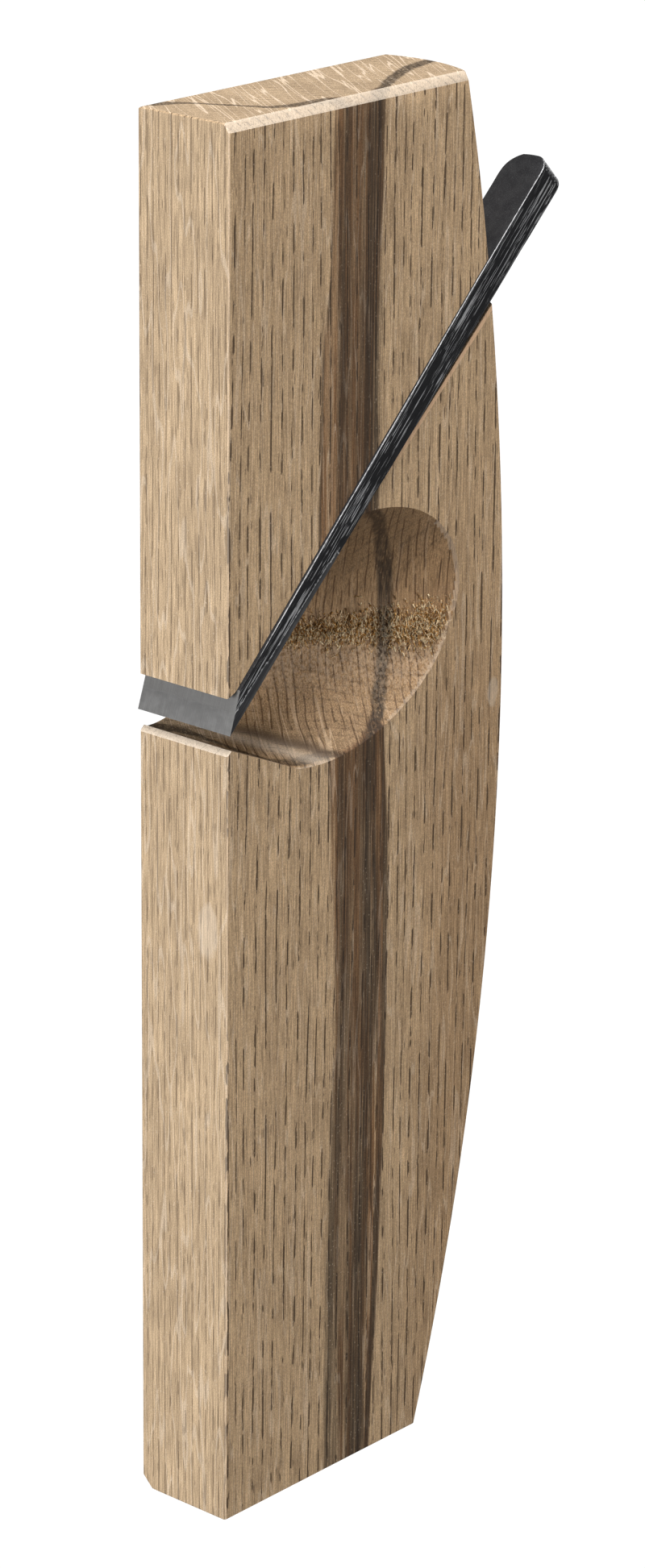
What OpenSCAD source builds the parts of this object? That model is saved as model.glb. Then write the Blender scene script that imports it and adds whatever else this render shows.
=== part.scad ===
// Narrow side-escapement rabbet plane with an arched one-piece oak body and a
// tanged, forge-welded iron that wedges itself in its groove.
//
// Frame: origin at the centre of the sole, +X to the toe, +Z up to the crown,
// +Y to the blind side. The open side, where shavings leave, is -Y.

/* [Body] */
// Length of the body
body_len = 240; // [220:1:270]
// Width of the body across the sole
body_w = 19.4; // [18:0.1:22]
// Height of the crown at its highest point
crown_h = 71.7; // [68:0.1:76]
// Radius of the crown's long arch
crown_r = 468; // [430:1:520]
// How far behind the middle of the body the crown is highest
crown_back = 15; // [5:1:25]
// Radius of the crown's rounding across the width
crown_round_r = 23; // [20:0.5:40]
// How far the crown's rounding leans to the blind side
crown_lean = 1.6; // [0:0.1:3]

/* [Edge breaks] */
// Length of the chamfer down the heel end on the open side, along the body
heel_chamfer_x = 1.5; // [0.5:0.1:3]
// Depth of the same chamfer, across the body
heel_chamfer_y = 1; // [0.5:0.1:3]
// Chamfer down the toe end on the blind side
toe_chamfer = 2.2; // [0.5:0.1:3]
// Break on every other edge
edge_break = 0.35; // [0.2:0.05:0.6]

/* [Mouth] */
// How far behind the middle of the body the cutting edge stands
edge_back = 20.9; // [18:0.1:24]
// How far the cutting edge stands below the sole
edge_projection = 0.2; // [0:0.05:0.5]
// Gap between the cutting edge and the toe side of the mouth, at the sole
mouth_gap = 3.75; // [3:0.05:5]
// Run of the chamfer on the toe side of the mouth
mouth_chamfer_x = 0.85; // [0.4:0.05:1.2]
// Rise of the chamfer on the toe side of the mouth
mouth_chamfer_z = 0.95; // [0.4:0.05:1.4]
// Gap between the cutting edge and the foot of the bed, at the sole
bed_gap = 6.1; // [5.8:0.05:6.4]
// Height of the blunt end of the bed above the sole
bed_tip_h = 1.85; // [1.6:0.05:2]
// Height of the straight throat above the sole
throat_h = 3; // [2.5:0.5:5]

/* [Groove] */
// Angle of the bed above the sole
bed_angle = 45.4; // [45:0.1:47]
// Running gap between the iron and the wood that it wedges against
wedge_gap = 0.03; // [0.02:0.01:0.05]
// How far up the bed the wedge first grips, from the cutting edge
grip_at = 44; // [40:1:48]
// Angle by which the abutment opens away from the iron above its grip
abutment_relief = 1.2; // [0.5:0.1:2]
// Side gap between the tang and the blind wall of its groove
tang_gap = 0.3; // [0.2:0.05:0.6]
// How far the iron can be backed up its bed
iron_travel = 8; // [4:0.5:9]

/* [Escapement] */
// Height of the cone's point below the sole
cone_drop = 8; // [7:0.5:9]
// How far behind the middle of the body the cone's point lies
cone_back = 21.5; // [20:0.5:23]
// How far the cone's point lies to the blind side of the middle
cone_side = 20; // [19:0.5:21]
// Upward tilt of the cone's axis
cone_tilt = 40; // [38:0.5:42]
// Turn of the cone's axis from square across the body, to the heel
cone_turn = 12; // [10:0.5:14]
// Half angle of the cone
cone_half = 24.5; // [23:0.25:26]
// Lean of the escapement's toe wall above the mouth
toe_wall_lean = 24; // [22:0.5:28]
// Height of the flare that joins the mouth to the escapement on the open side
flare_h = 6; // [5:0.5:7]

/* [Iron] */
// Length of the iron from cutting edge to head
iron_len = 113.3; // [108:1:118]
// Thickness of the iron at the cutting edge, square to the bed
iron_t = 3.45; // [3.2:0.05:3.6]
// Angle between the iron's two faces
iron_taper = 1.4; // [1:0.1:1.8]
// Angle between the bevel and the bed
bevel_to_bed = 27; // [26.5:0.25:30]
// How far the blade stands proud of the open side, at the cutting edge
proud_open = 0.7; // [0.3:0.05:1]
// How far the tang stands proud of the open side, at the head
proud_head = 0.2; // [0.1:0.05:0.3]
// How far the blade stands proud of the blind side
proud_blind = 0.25; // [0.1:0.05:0.4]
// Width of the tang
tang_w = 8.3; // [7:0.1:9]
// Length of the full-width blade
blade_len = 13; // [11:0.5:14]
// Length over which the shoulder narrows from blade to tang
shoulder_len = 9; // [7:0.5:11]
// Radius of the head's corner on the blind side
head_r_blind = 4.5; // [3:0.25:5]
// Radius of the head's corner on the open side
head_r_open = 3; // [1:0.1:3.5]
// Break round the end of the head
head_break = 0.4; // [0.2:0.1:0.8]
// How much thinner the head is than the tang where it leaves the wood
head_thinning = 0.4; // [0:0.1:0.8]

/* [Edge steel] */
// Thickness of the hard steel layer at the cutting edge
steel_t = 1.9; // [1.5:0.1:2.2]
// Thickness of the hard steel layer where it runs out
steel_end_t = 0.9; // [0.5:0.1:1.4]
// Length of the hard steel layer up the front face
steel_len = 36; // [30:1:42]
// Depth of the hollow ground in the front face
hollow_depth = 0.3; // [0.1:0.05:0.5]
// Radius of the wheel-ground hollow, across the face
hollow_r = 6.5; // [5:0.5:7.5]

/* [Hidden] */

over = 1;
half_len = body_len / 2;
half_w = body_w / 2;

// Crown arch: a disc whose rim is rounded across the width
crown_axis_z = crown_h - crown_r;
arch_fn = 720;
rim_steps = 12;
arc_step = 15;

// The bed's own frame: x runs down the bed, z stands square off it
foot_x = -edge_back - iron_t * sin(bed_angle);
foot_z = -edge_projection - iron_t * cos(bed_angle);
bevel_run = iron_t / tan(bevel_to_bed);
toe_mouth_x = mouth_gap - edge_back;
bed_mouth_x = -edge_back - bed_gap;
toe_wall_x = toe_mouth_x - mouth_chamfer_x;
bed_tip_up = (bed_tip_h - foot_z) / sin(bed_angle);
bed_tip_x = foot_x - bed_tip_up * cos(bed_angle);

// Across the width
tang_y = -half_w - proud_head + tang_w;
groove_y = tang_y + tang_gap;
slot_len = blade_len + iron_travel + over / 2;
bed_clear = 0.02;
thinning_from = 88;
hollow_sphere_r = (hollow_r * hollow_r + hollow_depth * hollow_depth) / (2 * hollow_depth);
hollow_up = 17;

function iron_front(up) = iron_t + up * tan(iron_taper);
function abutment(up) = iron_front(up) + wedge_gap + (up - grip_at) * tan(abutment_relief);
function arc(c, r, from, to, step) =
    [for (a = [from : (to > from ? step : -step) : to]) c + r * [cos(a), sin(a)]];
function rim_drop(y) = crown_round_r - sqrt(pow(crown_round_r, 2) - pow(y - crown_lean, 2));

// Draws its children in the bed's own frame
module on_bed() {
    translate([foot_x, 0, foot_z]) rotate([0, bed_angle, 0]) children();
}

// A profile given in x and z, extruded across the width from one y to another
module across(outline, y_from, y_to) {
    translate([0, y_to, 0]) rotate([90, 0, 0]) linear_extrude(y_to - y_from) polygon(outline);
}

// The body's outline seen from above, with its end chamfers
module plan_blank() {
    e = edge_break;
    linear_extrude(crown_h + over) polygon([
        [-half_len, -half_w + heel_chamfer_y], [-half_len + heel_chamfer_x, -half_w],
        [half_len - e, -half_w], [half_len, -half_w + e],
        [half_len, half_w - toe_chamfer], [half_len - toe_chamfer, half_w],
        [-half_len + e, half_w], [-half_len, half_w - e]]);
}

// The body's outline seen from the end, with the sole's edges broken
module end_blank() {
    e = edge_break;
    rotate([90, 0, 90]) translate([0, 0, -half_len - over]) linear_extrude(body_len + 2 * over)
        polygon([
            [-half_w + e, 0], [half_w - e, 0], [half_w, e],
            [half_w, crown_h + over], [-half_w, crown_h + over], [-half_w, e]]);
}

// The disc whose rim is the arched and rounded crown
module crown_disc() {
    e = edge_break;
    rim = [for (i = [0 : rim_steps])
        let (y = -half_w + e + i * (body_w - 2 * e) / rim_steps) [crown_r - rim_drop(y), y]];
    open_rim = [crown_r - rim_drop(-half_w) - e, -half_w - over];
    blind_rim = [crown_r - rim_drop(half_w) - e, half_w + over];
    core_r = crown_r - crown_h - over;
    translate([-crown_back, 0, crown_axis_z]) rotate([-90, 0, 0])
        rotate_extrude($fn = arch_fn) polygon(concat(
            [[core_r, -half_w - over], open_rim], rim, [blind_rim, [core_r, half_w + over]]));
}

// The groove that holds the tang, open on -Y, and the slot that clears the blade
module iron_groove() {
    top = iron_len + over;
    on_bed() intersection() {
        across([[over, 0], [over, iron_front(0) + over], [-grip_at, iron_front(grip_at) + wedge_gap],
            [-top, abutment(top)], [-top, 0]], -half_w - over, half_w + over);
        translate([0, 0, -over]) linear_extrude(iron_front(top) + 4 * over) polygon([
            [over, -half_w - over], [over, half_w + over], [-slot_len, half_w + over],
            [-slot_len, half_w], [-slot_len - shoulder_len, groove_y], [-top, groove_y],
            [-top, -half_w - over]]);
    }
}

// The straight mouth and throat, right across the sole
module mouth() {
    across([[bed_mouth_x, -over], [bed_mouth_x, 0], [bed_tip_x, bed_tip_h],
        [bed_tip_x, throat_h], [toe_wall_x, throat_h], [toe_wall_x, mouth_chamfer_z],
        [toe_mouth_x, 0], [toe_mouth_x, -over]], -half_w - over, half_w + over);
}

// The conical escapement, cut only in front of the iron
module escapement() {
    reach = 80;
    top = iron_len - over;
    front_foot = [foot_x + iron_front(0) * sin(bed_angle), foot_z + iron_front(0) * cos(bed_angle)];
    front_top = [foot_x - top * cos(bed_angle) + iron_front(top) * sin(bed_angle),
        foot_z + top * sin(bed_angle) + iron_front(top) * cos(bed_angle)];
    wall_top = [toe_wall_x + (front_top[1] - mouth_chamfer_z) * tan(toe_wall_lean), front_top[1]];
    intersection() {
        translate([-cone_back, cone_side, -cone_drop]) rotate([0, 0, -cone_turn])
            rotate([90 - cone_tilt, 0, 0])
            cylinder(h = reach, r1 = 0, r2 = reach * tan(cone_half), $fn = 180);
        across([front_foot, front_top, wall_top, [toe_wall_x, mouth_chamfer_z],
            [toe_wall_x, -2 * over]], -half_w - over, half_w + over);
    }
}

// The flare on the open side that runs the mouth's toe side into the escapement
module flare() {
    up = (flare_h + edge_projection) / sin(bed_angle);
    iron_x = foot_x + iron_front(up) * sin(bed_angle) - up * cos(bed_angle);
    across([[-edge_back, -edge_projection], [iron_x, flare_h],
        [toe_wall_x + (flare_h - mouth_chamfer_z) * tan(toe_wall_lean), flare_h],
        [toe_wall_x, mouth_chamfer_z], [toe_wall_x, -over]], -half_w - over, 0);
}

module body() {
    color([0.66, 0.5, 0.36]) difference() {
        intersection() {
            plan_blank();
            end_blank();
            crown_disc();
        }
        iron_groove();
        mouth();
        flare();
        escapement();
    }
}

// The whole forged iron: its side profile cut to its outline across the width
module iron_blank() {
    head_t = iron_front(iron_len);
    r_b = head_r_blind;
    r_o = head_r_open;
    open_edge = -half_w - proud_open;
    open_head = -half_w - proud_head;
    blind_edge = half_w + proud_blind;
    on_bed() intersection() {
        across([[0, iron_t], [-bevel_run, bed_clear], [-thinning_from, bed_clear],
            [-iron_len + head_break, head_thinning], [-iron_len, head_thinning + head_break],
            [-iron_len, head_t - head_break], [-iron_len + head_break, head_t]],
            open_edge - over, blind_edge + over);
        translate([0, 0, -over]) linear_extrude(head_t + 2 * over) polygon(concat(
            [[over, open_edge], [over, blind_edge], [-blade_len, blind_edge],
             [-blade_len - shoulder_len, tang_y]],
            arc([-iron_len + r_b, tang_y - r_b], r_b, 90, 180, arc_step),
            arc([-iron_len + r_o, open_head + r_o], r_o, 180, 270, arc_step)));
    }
}

// The layer of hard steel along the front face, from the cutting edge up
module steel_layer(y_from, y_to) {
    on_bed() across([[over, iron_t - steel_t], [over, iron_t + over],
        [-steel_len, iron_front(steel_len) + over], [-steel_len, iron_front(steel_len) - steel_end_t],
        [0, iron_t - steel_t]], y_from, y_to);
}

module iron_backing() {
    color([0.16, 0.16, 0.17]) difference() {
        iron_blank();
        steel_layer(-body_w, body_w);
    }
}

module edge_steel() {
    lift = hollow_sphere_r - hollow_depth;
    color([0.45, 0.46, 0.48]) difference() {
        intersection() {
            iron_blank();
            steel_layer(-body_w, body_w);
        }
        on_bed() translate([0, 0, iron_t]) rotate([0, iron_taper, 0])
            translate([-hollow_up, 0, lift]) sphere(r = hollow_sphere_r, $fn = 180);
    }
}

body();
iron_backing();
edge_steel();
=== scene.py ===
"""Looks of a narrow side-escapement rabbet plane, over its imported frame.

Lengths are in millimetres in the classes below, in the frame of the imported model: X to the toe,
Y to the blind side, Z to the crown, with the origin at the centre of the sole. The open side,
where shavings leave, faces -Y.
"""

import logging
import math
from dataclasses import dataclass
from enum import Enum
from typing import Sequence

import bmesh
import bpy
import numpy as np
from mathutils import Matrix, Vector, noise


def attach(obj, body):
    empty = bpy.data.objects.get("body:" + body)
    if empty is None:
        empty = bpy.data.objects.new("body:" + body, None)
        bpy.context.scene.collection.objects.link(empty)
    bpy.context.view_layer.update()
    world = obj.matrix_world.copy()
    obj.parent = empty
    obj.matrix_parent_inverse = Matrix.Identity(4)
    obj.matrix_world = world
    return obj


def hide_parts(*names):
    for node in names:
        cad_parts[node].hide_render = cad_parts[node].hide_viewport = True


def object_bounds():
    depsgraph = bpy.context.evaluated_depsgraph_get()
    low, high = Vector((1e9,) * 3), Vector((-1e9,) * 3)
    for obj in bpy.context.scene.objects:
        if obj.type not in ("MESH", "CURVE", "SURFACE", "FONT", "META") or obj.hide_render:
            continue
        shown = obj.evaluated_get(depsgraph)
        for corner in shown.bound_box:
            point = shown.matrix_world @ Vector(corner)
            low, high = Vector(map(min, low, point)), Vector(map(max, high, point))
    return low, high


MM = 0.001
NORMAL_WEIGHT = 80
LOG = logging.getLogger("rabbet_plane")
Pair = tuple[float, float]
Triple = tuple[float, float, float]
Colour = Triple
Piece = bpy.types.Object
Material = bpy.types.Material
Tree = bpy.types.NodeTree
Node = bpy.types.Node
Output = bpy.types.NodeSocket
Feed = Output | Triple | float
Outputs = bpy.types.NodeOutputs | dict[str, Output]

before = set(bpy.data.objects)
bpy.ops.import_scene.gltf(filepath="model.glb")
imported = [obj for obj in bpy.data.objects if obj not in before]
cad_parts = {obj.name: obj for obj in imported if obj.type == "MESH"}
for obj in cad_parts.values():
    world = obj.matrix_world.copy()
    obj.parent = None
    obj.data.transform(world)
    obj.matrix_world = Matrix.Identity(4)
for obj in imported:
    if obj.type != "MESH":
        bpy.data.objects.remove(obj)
CAD_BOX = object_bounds()


class Cut(Enum):
    """Ways in which one solid works on another."""

    REMOVE = "DIFFERENCE"
    KEEP = "INTERSECT"


class Band(Enum):
    """Channels of the paint that marks where a body face is torn, pale, hollowed or woolly; the pale channel
    also holds painted light on the toe wall's lip, the hollow one painted shade.
    """

    TORN = 0
    FRESH = 1
    HOLLOW = 2
    WOOLLY = 3


# ---- Mesh helpers ----


def make_object(name: str, points: np.ndarray, faces: Sequence[Sequence[int]]) -> Piece:
    """Makes a closed mesh object from points in millimetres.

    Args:
        name: Name of the object and of its mesh.
        points: Points, one row of x, y and z each.
        faces: Corner indices of each face.

    Returns:
        The new object, linked to the scene, with its normals outwards.
    """
    mesh = bpy.data.meshes.new(name)
    mesh.from_pydata((np.asarray(points) * MM).tolist(), [], faces)
    mesh.validate()
    work = bmesh.new()
    work.from_mesh(mesh)
    bmesh.ops.recalc_face_normals(work, faces=work.faces)
    work.to_mesh(mesh)
    work.free()
    obj = bpy.data.objects.new(name, mesh)
    bpy.context.scene.collection.objects.link(obj)
    return obj


def loft(name: str, rings: np.ndarray) -> Piece:
    """Skins a row of closed rings and caps both ends.

    Args:
        name: Name of the object.
        rings: Array of shape (stations, points in a ring, 3).

    Returns:
        The closed object.
    """
    count, around = rings.shape[:2]
    faces = []
    for start in range(0, (count - 1) * around, around):
        for k in range(around):
            after = (k + 1) % around
            faces.append((start + k, start + after, start + around + after, start + around + k))
    faces.append(tuple(range(around - 1, -1, -1)))
    faces.append(tuple((count - 1) * around + k for k in range(around)))
    return make_object(name, rings.reshape(-1, 3), faces)


def slab(name: str, low: np.ndarray, high: np.ndarray) -> Piece:
    """Joins two matching outlines into a solid.

    Args:
        name: Name of the object.
        low: Points of one outline.
        high: The same points moved to the other face.

    Returns:
        The closed object.
    """
    return loft(name, np.stack([low, high]))


def across(name: str, outline: Sequence[Pair], y_from: float, y_to: float) -> Piece:
    """Extrudes an outline in x and z across the width.

    Args:
        name: Name of the object.
        outline: Corners in x and z.
        y_from: Where the solid starts.
        y_to: Where it ends.

    Returns:
        The closed object.
    """
    flat = np.array([(x, y_from, z) for x, z in outline])
    return slab(name, flat, flat + (0, y_to - y_from, 0))


def carve(target: Piece, tool: Piece, how: Cut, keep_tool: bool = False) -> None:
    """Works one solid on another and keeps the result in the first.

    Args:
        target: Object whose mesh changes.
        tool: Object that cuts it.
        how: Whether the tool's space is removed or kept.
        keep_tool: Leaves the tool in the scene for another cut.
    """
    modifier = target.modifiers.new("cut", "BOOLEAN")
    modifier.operation = how.value
    modifier.solver = "EXACT"
    modifier.object = tool
    graph = bpy.context.evaluated_depsgraph_get()
    made = bpy.data.meshes.new_from_object(target.evaluated_get(graph))
    target.modifiers.clear()
    old, target.data = target.data, made
    bpy.data.meshes.remove(old)
    made.name = target.name
    if not keep_tool:
        bpy.data.objects.remove(tool)


def finish_shading(obj: Piece, crease_deg: float) -> None:
    """Smooths an object's shading between creases and lets its large faces set the normals.

    Args:
        obj: The object.
        crease_deg: Faces that meet at more than this angle keep a sharp edge.
    """
    mesh = obj.data
    mesh.polygons.foreach_set("use_smooth", [True] * len(mesh.polygons))
    mesh.set_sharp_from_angle(angle=math.radians(crease_deg))
    modifier = obj.modifiers.new("normals", "WEIGHTED_NORMAL")
    modifier.mode = "FACE_AREA"
    modifier.weight = NORMAL_WEIGHT
    modifier.keep_sharp = True


def wander(point: Vector, scale: float, seed: float) -> float:
    """Smooth noise from -1 to 1 at a point.

    Args:
        point: Where it is read, in millimetres.
        scale: Size of its bumps, in millimetres.
        seed: Offset that makes one noise differ from the next.

    Returns:
        The value.
    """
    return noise.noise(point / scale + Vector((seed, 2.3 * seed, -seed)))


# ---- Shared geometry ----


@dataclass(frozen=True)
class Bed:
    """The iron's own frame: up the bed, across the width, and square off the bed."""

    angle_deg: float = 45.4
    edge_back: float = 20.9
    edge_below: float = 0.2
    iron_t: float = 3.45
    taper_deg: float = 1.4

    @property
    def foot(self) -> Pair:
        """Where the bed's line ends at the foot of the iron, in x and z."""
        a = math.radians(self.angle_deg)
        return -self.edge_back - self.iron_t * math.sin(a), -self.edge_below - self.iron_t * math.cos(a)

    def front(self, up: float) -> float:
        """Height of the iron's front face off the bed at a distance up it."""
        return self.iron_t + up * math.tan(math.radians(self.taper_deg))

    def place(self, up: float, y: float, lift: float) -> Triple:
        """Turns a point of the bed's frame into the object's frame.

        Args:
            up: Distance up the bed from the cutting edge.
            y: Place across the width.
            lift: Distance square off the bed, to the front.

        Returns:
            The point's x, y and z.
        """
        a = math.radians(self.angle_deg)
        c, s = math.cos(a), math.sin(a)
        x0, z0 = self.foot
        return x0 - up * c + lift * s, y, z0 + up * s + lift * c

    def side_slab(self, name: str, outline: Sequence[Pair], y_from: float, y_to: float) -> Piece:
        """Extrudes an outline of (up, lift) across the width."""
        return slab(
            name,
            np.array([self.place(u, y_from, w) for u, w in outline]),
            np.array([self.place(u, y_to, w) for u, w in outline]),
        )

    def face_slab(self, name: str, outline: Sequence[Pair], low: float, high: float) -> Piece:
        """Extrudes an outline of (up, y) square off the bed."""
        return slab(
            name,
            np.array([self.place(u, y, low) for u, y in outline]),
            np.array([self.place(u, y, high) for u, y in outline]),
        )


@dataclass(frozen=True)
class Cone:
    """The cone that the escapement is cut to, with its point outside the blind side."""

    point: Triple = (-21.5, 20.0, -8.0)
    tilt_deg: float = 40.0
    turn_deg: float = 12.0
    half_deg: float = 24.5
    reach: float = 80.0
    torn_from_deg: float = 77.5
    torn_to_deg: float = 94.0
    torn_lean: float = 0.5
    torn_level: float = 50.0
    torn_fade: Pair = (2.4, 1.3)
    wool_width: float = 24.0
    # Painted shade in the inner corner of the toe wall, where the iron and the mouth keep the light off.
    corner_shade_at: Pair = (34.0, 25.5)
    corner_shade_lean: float = 0.6
    corner_shade_width: float = 9.0
    corner_shade_depth: float = 1.5
    # Painted light on the lit lip of the toe wall, next to the open side.
    lip_light_at: Pair = (35.0, 17.0)
    lip_light_lean: float = 0.56
    lip_light_width: float = 6.0
    lip_light: float = 0.55
    broken_to_deg: float = 14.0
    broken_depth: float = 0.45
    broken_pale: float = 0.7

    @property
    def axes(self) -> tuple[Vector, Vector, Vector]:
        """The axis and two directions square to it."""
        tilt, turn = math.radians(self.tilt_deg), math.radians(self.turn_deg)
        flat = math.cos(tilt)
        axis = Vector((-math.sin(turn) * flat, -math.cos(turn) * flat, math.sin(tilt)))
        first = (Vector((1, 0, 0)) - axis * axis.x).normalized()
        return axis, first, axis.cross(first)

    def place(self, height: float, turn_deg: float, proud: float = 0.0) -> Vector:
        """A point on the cone's wall.

        Args:
            height: Distance along the axis from the cone's point.
            turn_deg: Angle round the axis.
            proud: How far the point stands inside the wall, in the open space.

        Returns:
            The point.
        """
        axis, first, second = self.axes
        t = math.radians(turn_deg)
        radius = height * math.tan(math.radians(self.half_deg)) - proud
        return Vector(self.point) + axis * height + (first * math.cos(t) + second * math.sin(t)) * radius

    def read(self, point: Vector) -> Triple:
        """Where a point lies on the cone.

        Args:
            point: The point.

        Returns:
            Its height along the axis, its angle round it and its distance off the wall.
        """
        axis, first, second = self.axes
        v = point - Vector(self.point)
        height = v.dot(axis)
        side = v - axis * height
        half = math.radians(self.half_deg)
        off = (side.length - height * math.tan(half)) * math.cos(half)
        return height, math.degrees(math.atan2(side.dot(second), side.dot(first))), off

    def tear(self, height: float, turn_deg: float) -> float:
        """How torn the wall is at a place on it, from 0 to 1."""
        wave = 1.6 * noise.noise(Vector((height / 5, 3.1, 0.4)))
        wave += 1.2 * noise.noise(Vector((height / 1.7, 9.7, 4.0)))
        middle = 0.5 * (self.torn_from_deg + self.torn_to_deg) + wave
        middle -= self.torn_lean * (height - self.torn_level)
        spread = 0.5 * (self.torn_to_deg - self.torn_from_deg)
        away = (turn_deg - middle) / spread
        return math.exp(-(away**2) * self.torn_fade[away >= 0])

    def corner_shade(self, height: float, turn_deg: float, open_face: float) -> float:
        """How much painted shade lies in the inner corner of the toe wall, from 0 to 1."""
        depth = self.place(height, turn_deg).y - open_face
        level, middle = self.corner_shade_at
        middle -= self.corner_shade_lean * (height - level)
        middle += 2.0 * noise.noise(Vector((height / 4, 1.0, 7.0)))
        away = (turn_deg - middle) / self.corner_shade_width
        fade = 1.4 if away > 0 else 7.0
        return math.exp(-(away**2) * fade) * min(1.0, max(0.0, depth / self.corner_shade_depth))

    def lip_light_and_wear(self, height: float, turn_deg: float, open_face: float) -> float:
        """How pale the toe wall is, from 0 to 1: painted light on its lip, and the real paleness of its
        broken outer arris.
        """
        depth = self.place(height, turn_deg).y - open_face
        level, middle = self.lip_light_at
        away = (turn_deg - middle + self.lip_light_lean * (height - level)) / self.lip_light_width
        ragged = 0.5 + 0.5 * noise.noise(Vector((height / 1.3, turn_deg / 5.0, 2.0)))
        outer = turn_deg < self.broken_to_deg and depth < self.broken_depth
        broken = self.broken_pale * ragged if outer else 0.0
        return max(broken, self.lip_light * math.exp(-(away**2)))

    def wool(self, height: float, turn_deg: float) -> float:
        """How woolly the wall is on the mouth's side of the torn band, from 0 to 1."""
        away = turn_deg - 0.5 * (self.torn_from_deg + self.torn_to_deg)
        away = (away + self.torn_lean * (height - self.torn_level)) / self.wool_width
        return math.exp(-((away + 0.35) ** 2) * (1.1 if away < -0.35 else 5.0))


# ---- Node helpers ----


class Graph:
    """Short calls that add nodes to one node tree."""

    def __init__(self, tree: Tree) -> None:
        """Starts on a node tree."""
        self.tree = tree

    def add(self, kind: str, **settings: object) -> Node:
        """Adds a node and sets its properties."""
        node = self.tree.nodes.new(kind)
        for key, value in settings.items():
            setattr(node, key, value)
        return node

    def feed(self, socket: Output, value: Feed) -> None:
        """Links an output to a socket, or sets the socket's own value."""
        if isinstance(value, Output):
            self.tree.links.new(value, socket)
        elif isinstance(value, tuple) and socket.type == "RGBA":
            socket.default_value = (*value[:3], 1.0)
        else:
            socket.default_value = value

    def feed_all(self, node: Node, values: Sequence[Feed]) -> None:
        """Feeds a node's first inputs in order."""
        for socket, value in zip(node.inputs, values):
            self.feed(socket, value)

    def math(self, kind: str, a: Feed, b: Feed = 0.0, c: Feed = 0.0, clamp: bool = False) -> Output:
        """Adds a Math node.

        Args:
            kind: The operation.
            a: First value or output.
            b: Second value or output.
            c: Third value or output.
            clamp: Keeps the result between 0 and 1.

        Returns:
            The node's output.
        """
        node = self.add("ShaderNodeMath", operation=kind, use_clamp=clamp)
        self.feed_all(node, (a, b, c))
        return node.outputs[0]

    def times(self, a: Feed, b: Feed) -> Output:
        """The product of two values."""
        return self.math("MULTIPLY", a, b)

    def over(self, a: Feed, b: Feed) -> Output:
        """One value divided by another."""
        return self.math("DIVIDE", a, b)

    def plus(self, a: Feed, b: Feed) -> Output:
        """The sum of two values."""
        return self.math("ADD", a, b)

    def less(self, a: Feed, b: Feed) -> Output:
        """One value less another."""
        return self.math("SUBTRACT", a, b)

    def most(self, a: Feed, b: Feed) -> Output:
        """The larger of two values."""
        return self.math("MAXIMUM", a, b)

    def size(self, a: Feed) -> Output:
        """A value without its sign."""
        return self.math("ABSOLUTE", a)

    def line(self, value: Feed, slope: Feed, start: Feed) -> Output:
        """A value times a slope, plus a start."""
        return self.math("MULTIPLY_ADD", value, slope, start)

    def step(self, value: Feed, low: Feed, high: Feed, to_low: Feed = 0.0, to_high: Feed = 1.0,
             way: str = "SMOOTHSTEP") -> Output:
        """Maps a value from one range to another and stops at its ends.

        Args:
            value: The value.
            low: Where the first range starts.
            high: Where it ends.
            to_low: What its start becomes.
            to_high: What its end becomes.
            way: How the value runs between the two.

        Returns:
            The mapped value.
        """
        node = self.add("ShaderNodeMapRange", interpolation_type=way, clamp=True)
        self.feed_all(node, (value, low, high, to_low, to_high))
        return node.outputs[0]

    def fade(self, value: Feed, low: Feed, high: Feed, start: Feed = 1.0) -> Output:
        """Falls smoothly from a start to nothing over a range."""
        return self.step(value, low, high, start, 0.0)

    def mix(self, share: Feed, a: Feed, b: Feed, kind: str = "MIX") -> Output:
        """Mixes two colours.

        Args:
            share: How much of the second.
            a: First colour.
            b: Second colour.
            kind: Way of blending.

        Returns:
            The mixed colour.
        """
        node = self.add("ShaderNodeMix", data_type="RGBA", blend_type=kind)
        self.feed(node.inputs[0], share)
        self.feed(node.inputs[6], a)
        self.feed(node.inputs[7], b)
        return node.outputs[2]

    def tint(self, colour: Feed, by: Feed) -> Output:
        """A colour multiplied by another."""
        return self.mix(1.0, colour, by, "MULTIPLY")

    def part_tint(self, share: Feed, colour: Output, by: Feed) -> Output:
        """A colour multiplied by another where a mask says so."""
        return self.mix(share, colour, self.tint(colour, by))

    def split(self, vector: Feed) -> tuple[Output, Output, Output]:
        """The three parts of a vector."""
        node = self.add("ShaderNodeSeparateXYZ")
        self.feed(node.inputs[0], vector)
        return node.outputs[0], node.outputs[1], node.outputs[2]

    def join(self, x: Feed, y: Feed, z: Feed) -> Output:
        """A vector from three parts."""
        node = self.add("ShaderNodeCombineXYZ")
        self.feed_all(node, (x, y, z))
        return node.outputs[0]

    def shrink(self, parts: Sequence[Feed], sizes: Triple) -> Output:
        """A vector from three parts, each divided by a size."""
        return self.join(*(self.over(part, size) for part, size in zip(parts, sizes)))

    def vector_math(self, kind: str, vector: Feed, other: Triple | Vector | None = None) -> Node:
        """Adds a Vector Math node with a fixed second vector."""
        node = self.add("ShaderNodeVectorMath", operation=kind)
        self.feed(node.inputs[0], vector)
        if other is not None:
            node.inputs[1].default_value = other
        return node

    def scaled(self, vector: Feed, sizes: Triple) -> Output:
        """Divides a vector by a size along each axis."""
        return self.vector_math("DIVIDE", vector, sizes).outputs[0]

    def moved(self, vector: Feed, offset: Triple) -> Output:
        """Adds a fixed offset to a vector."""
        return self.vector_math("ADD", vector, offset).outputs[0]

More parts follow.
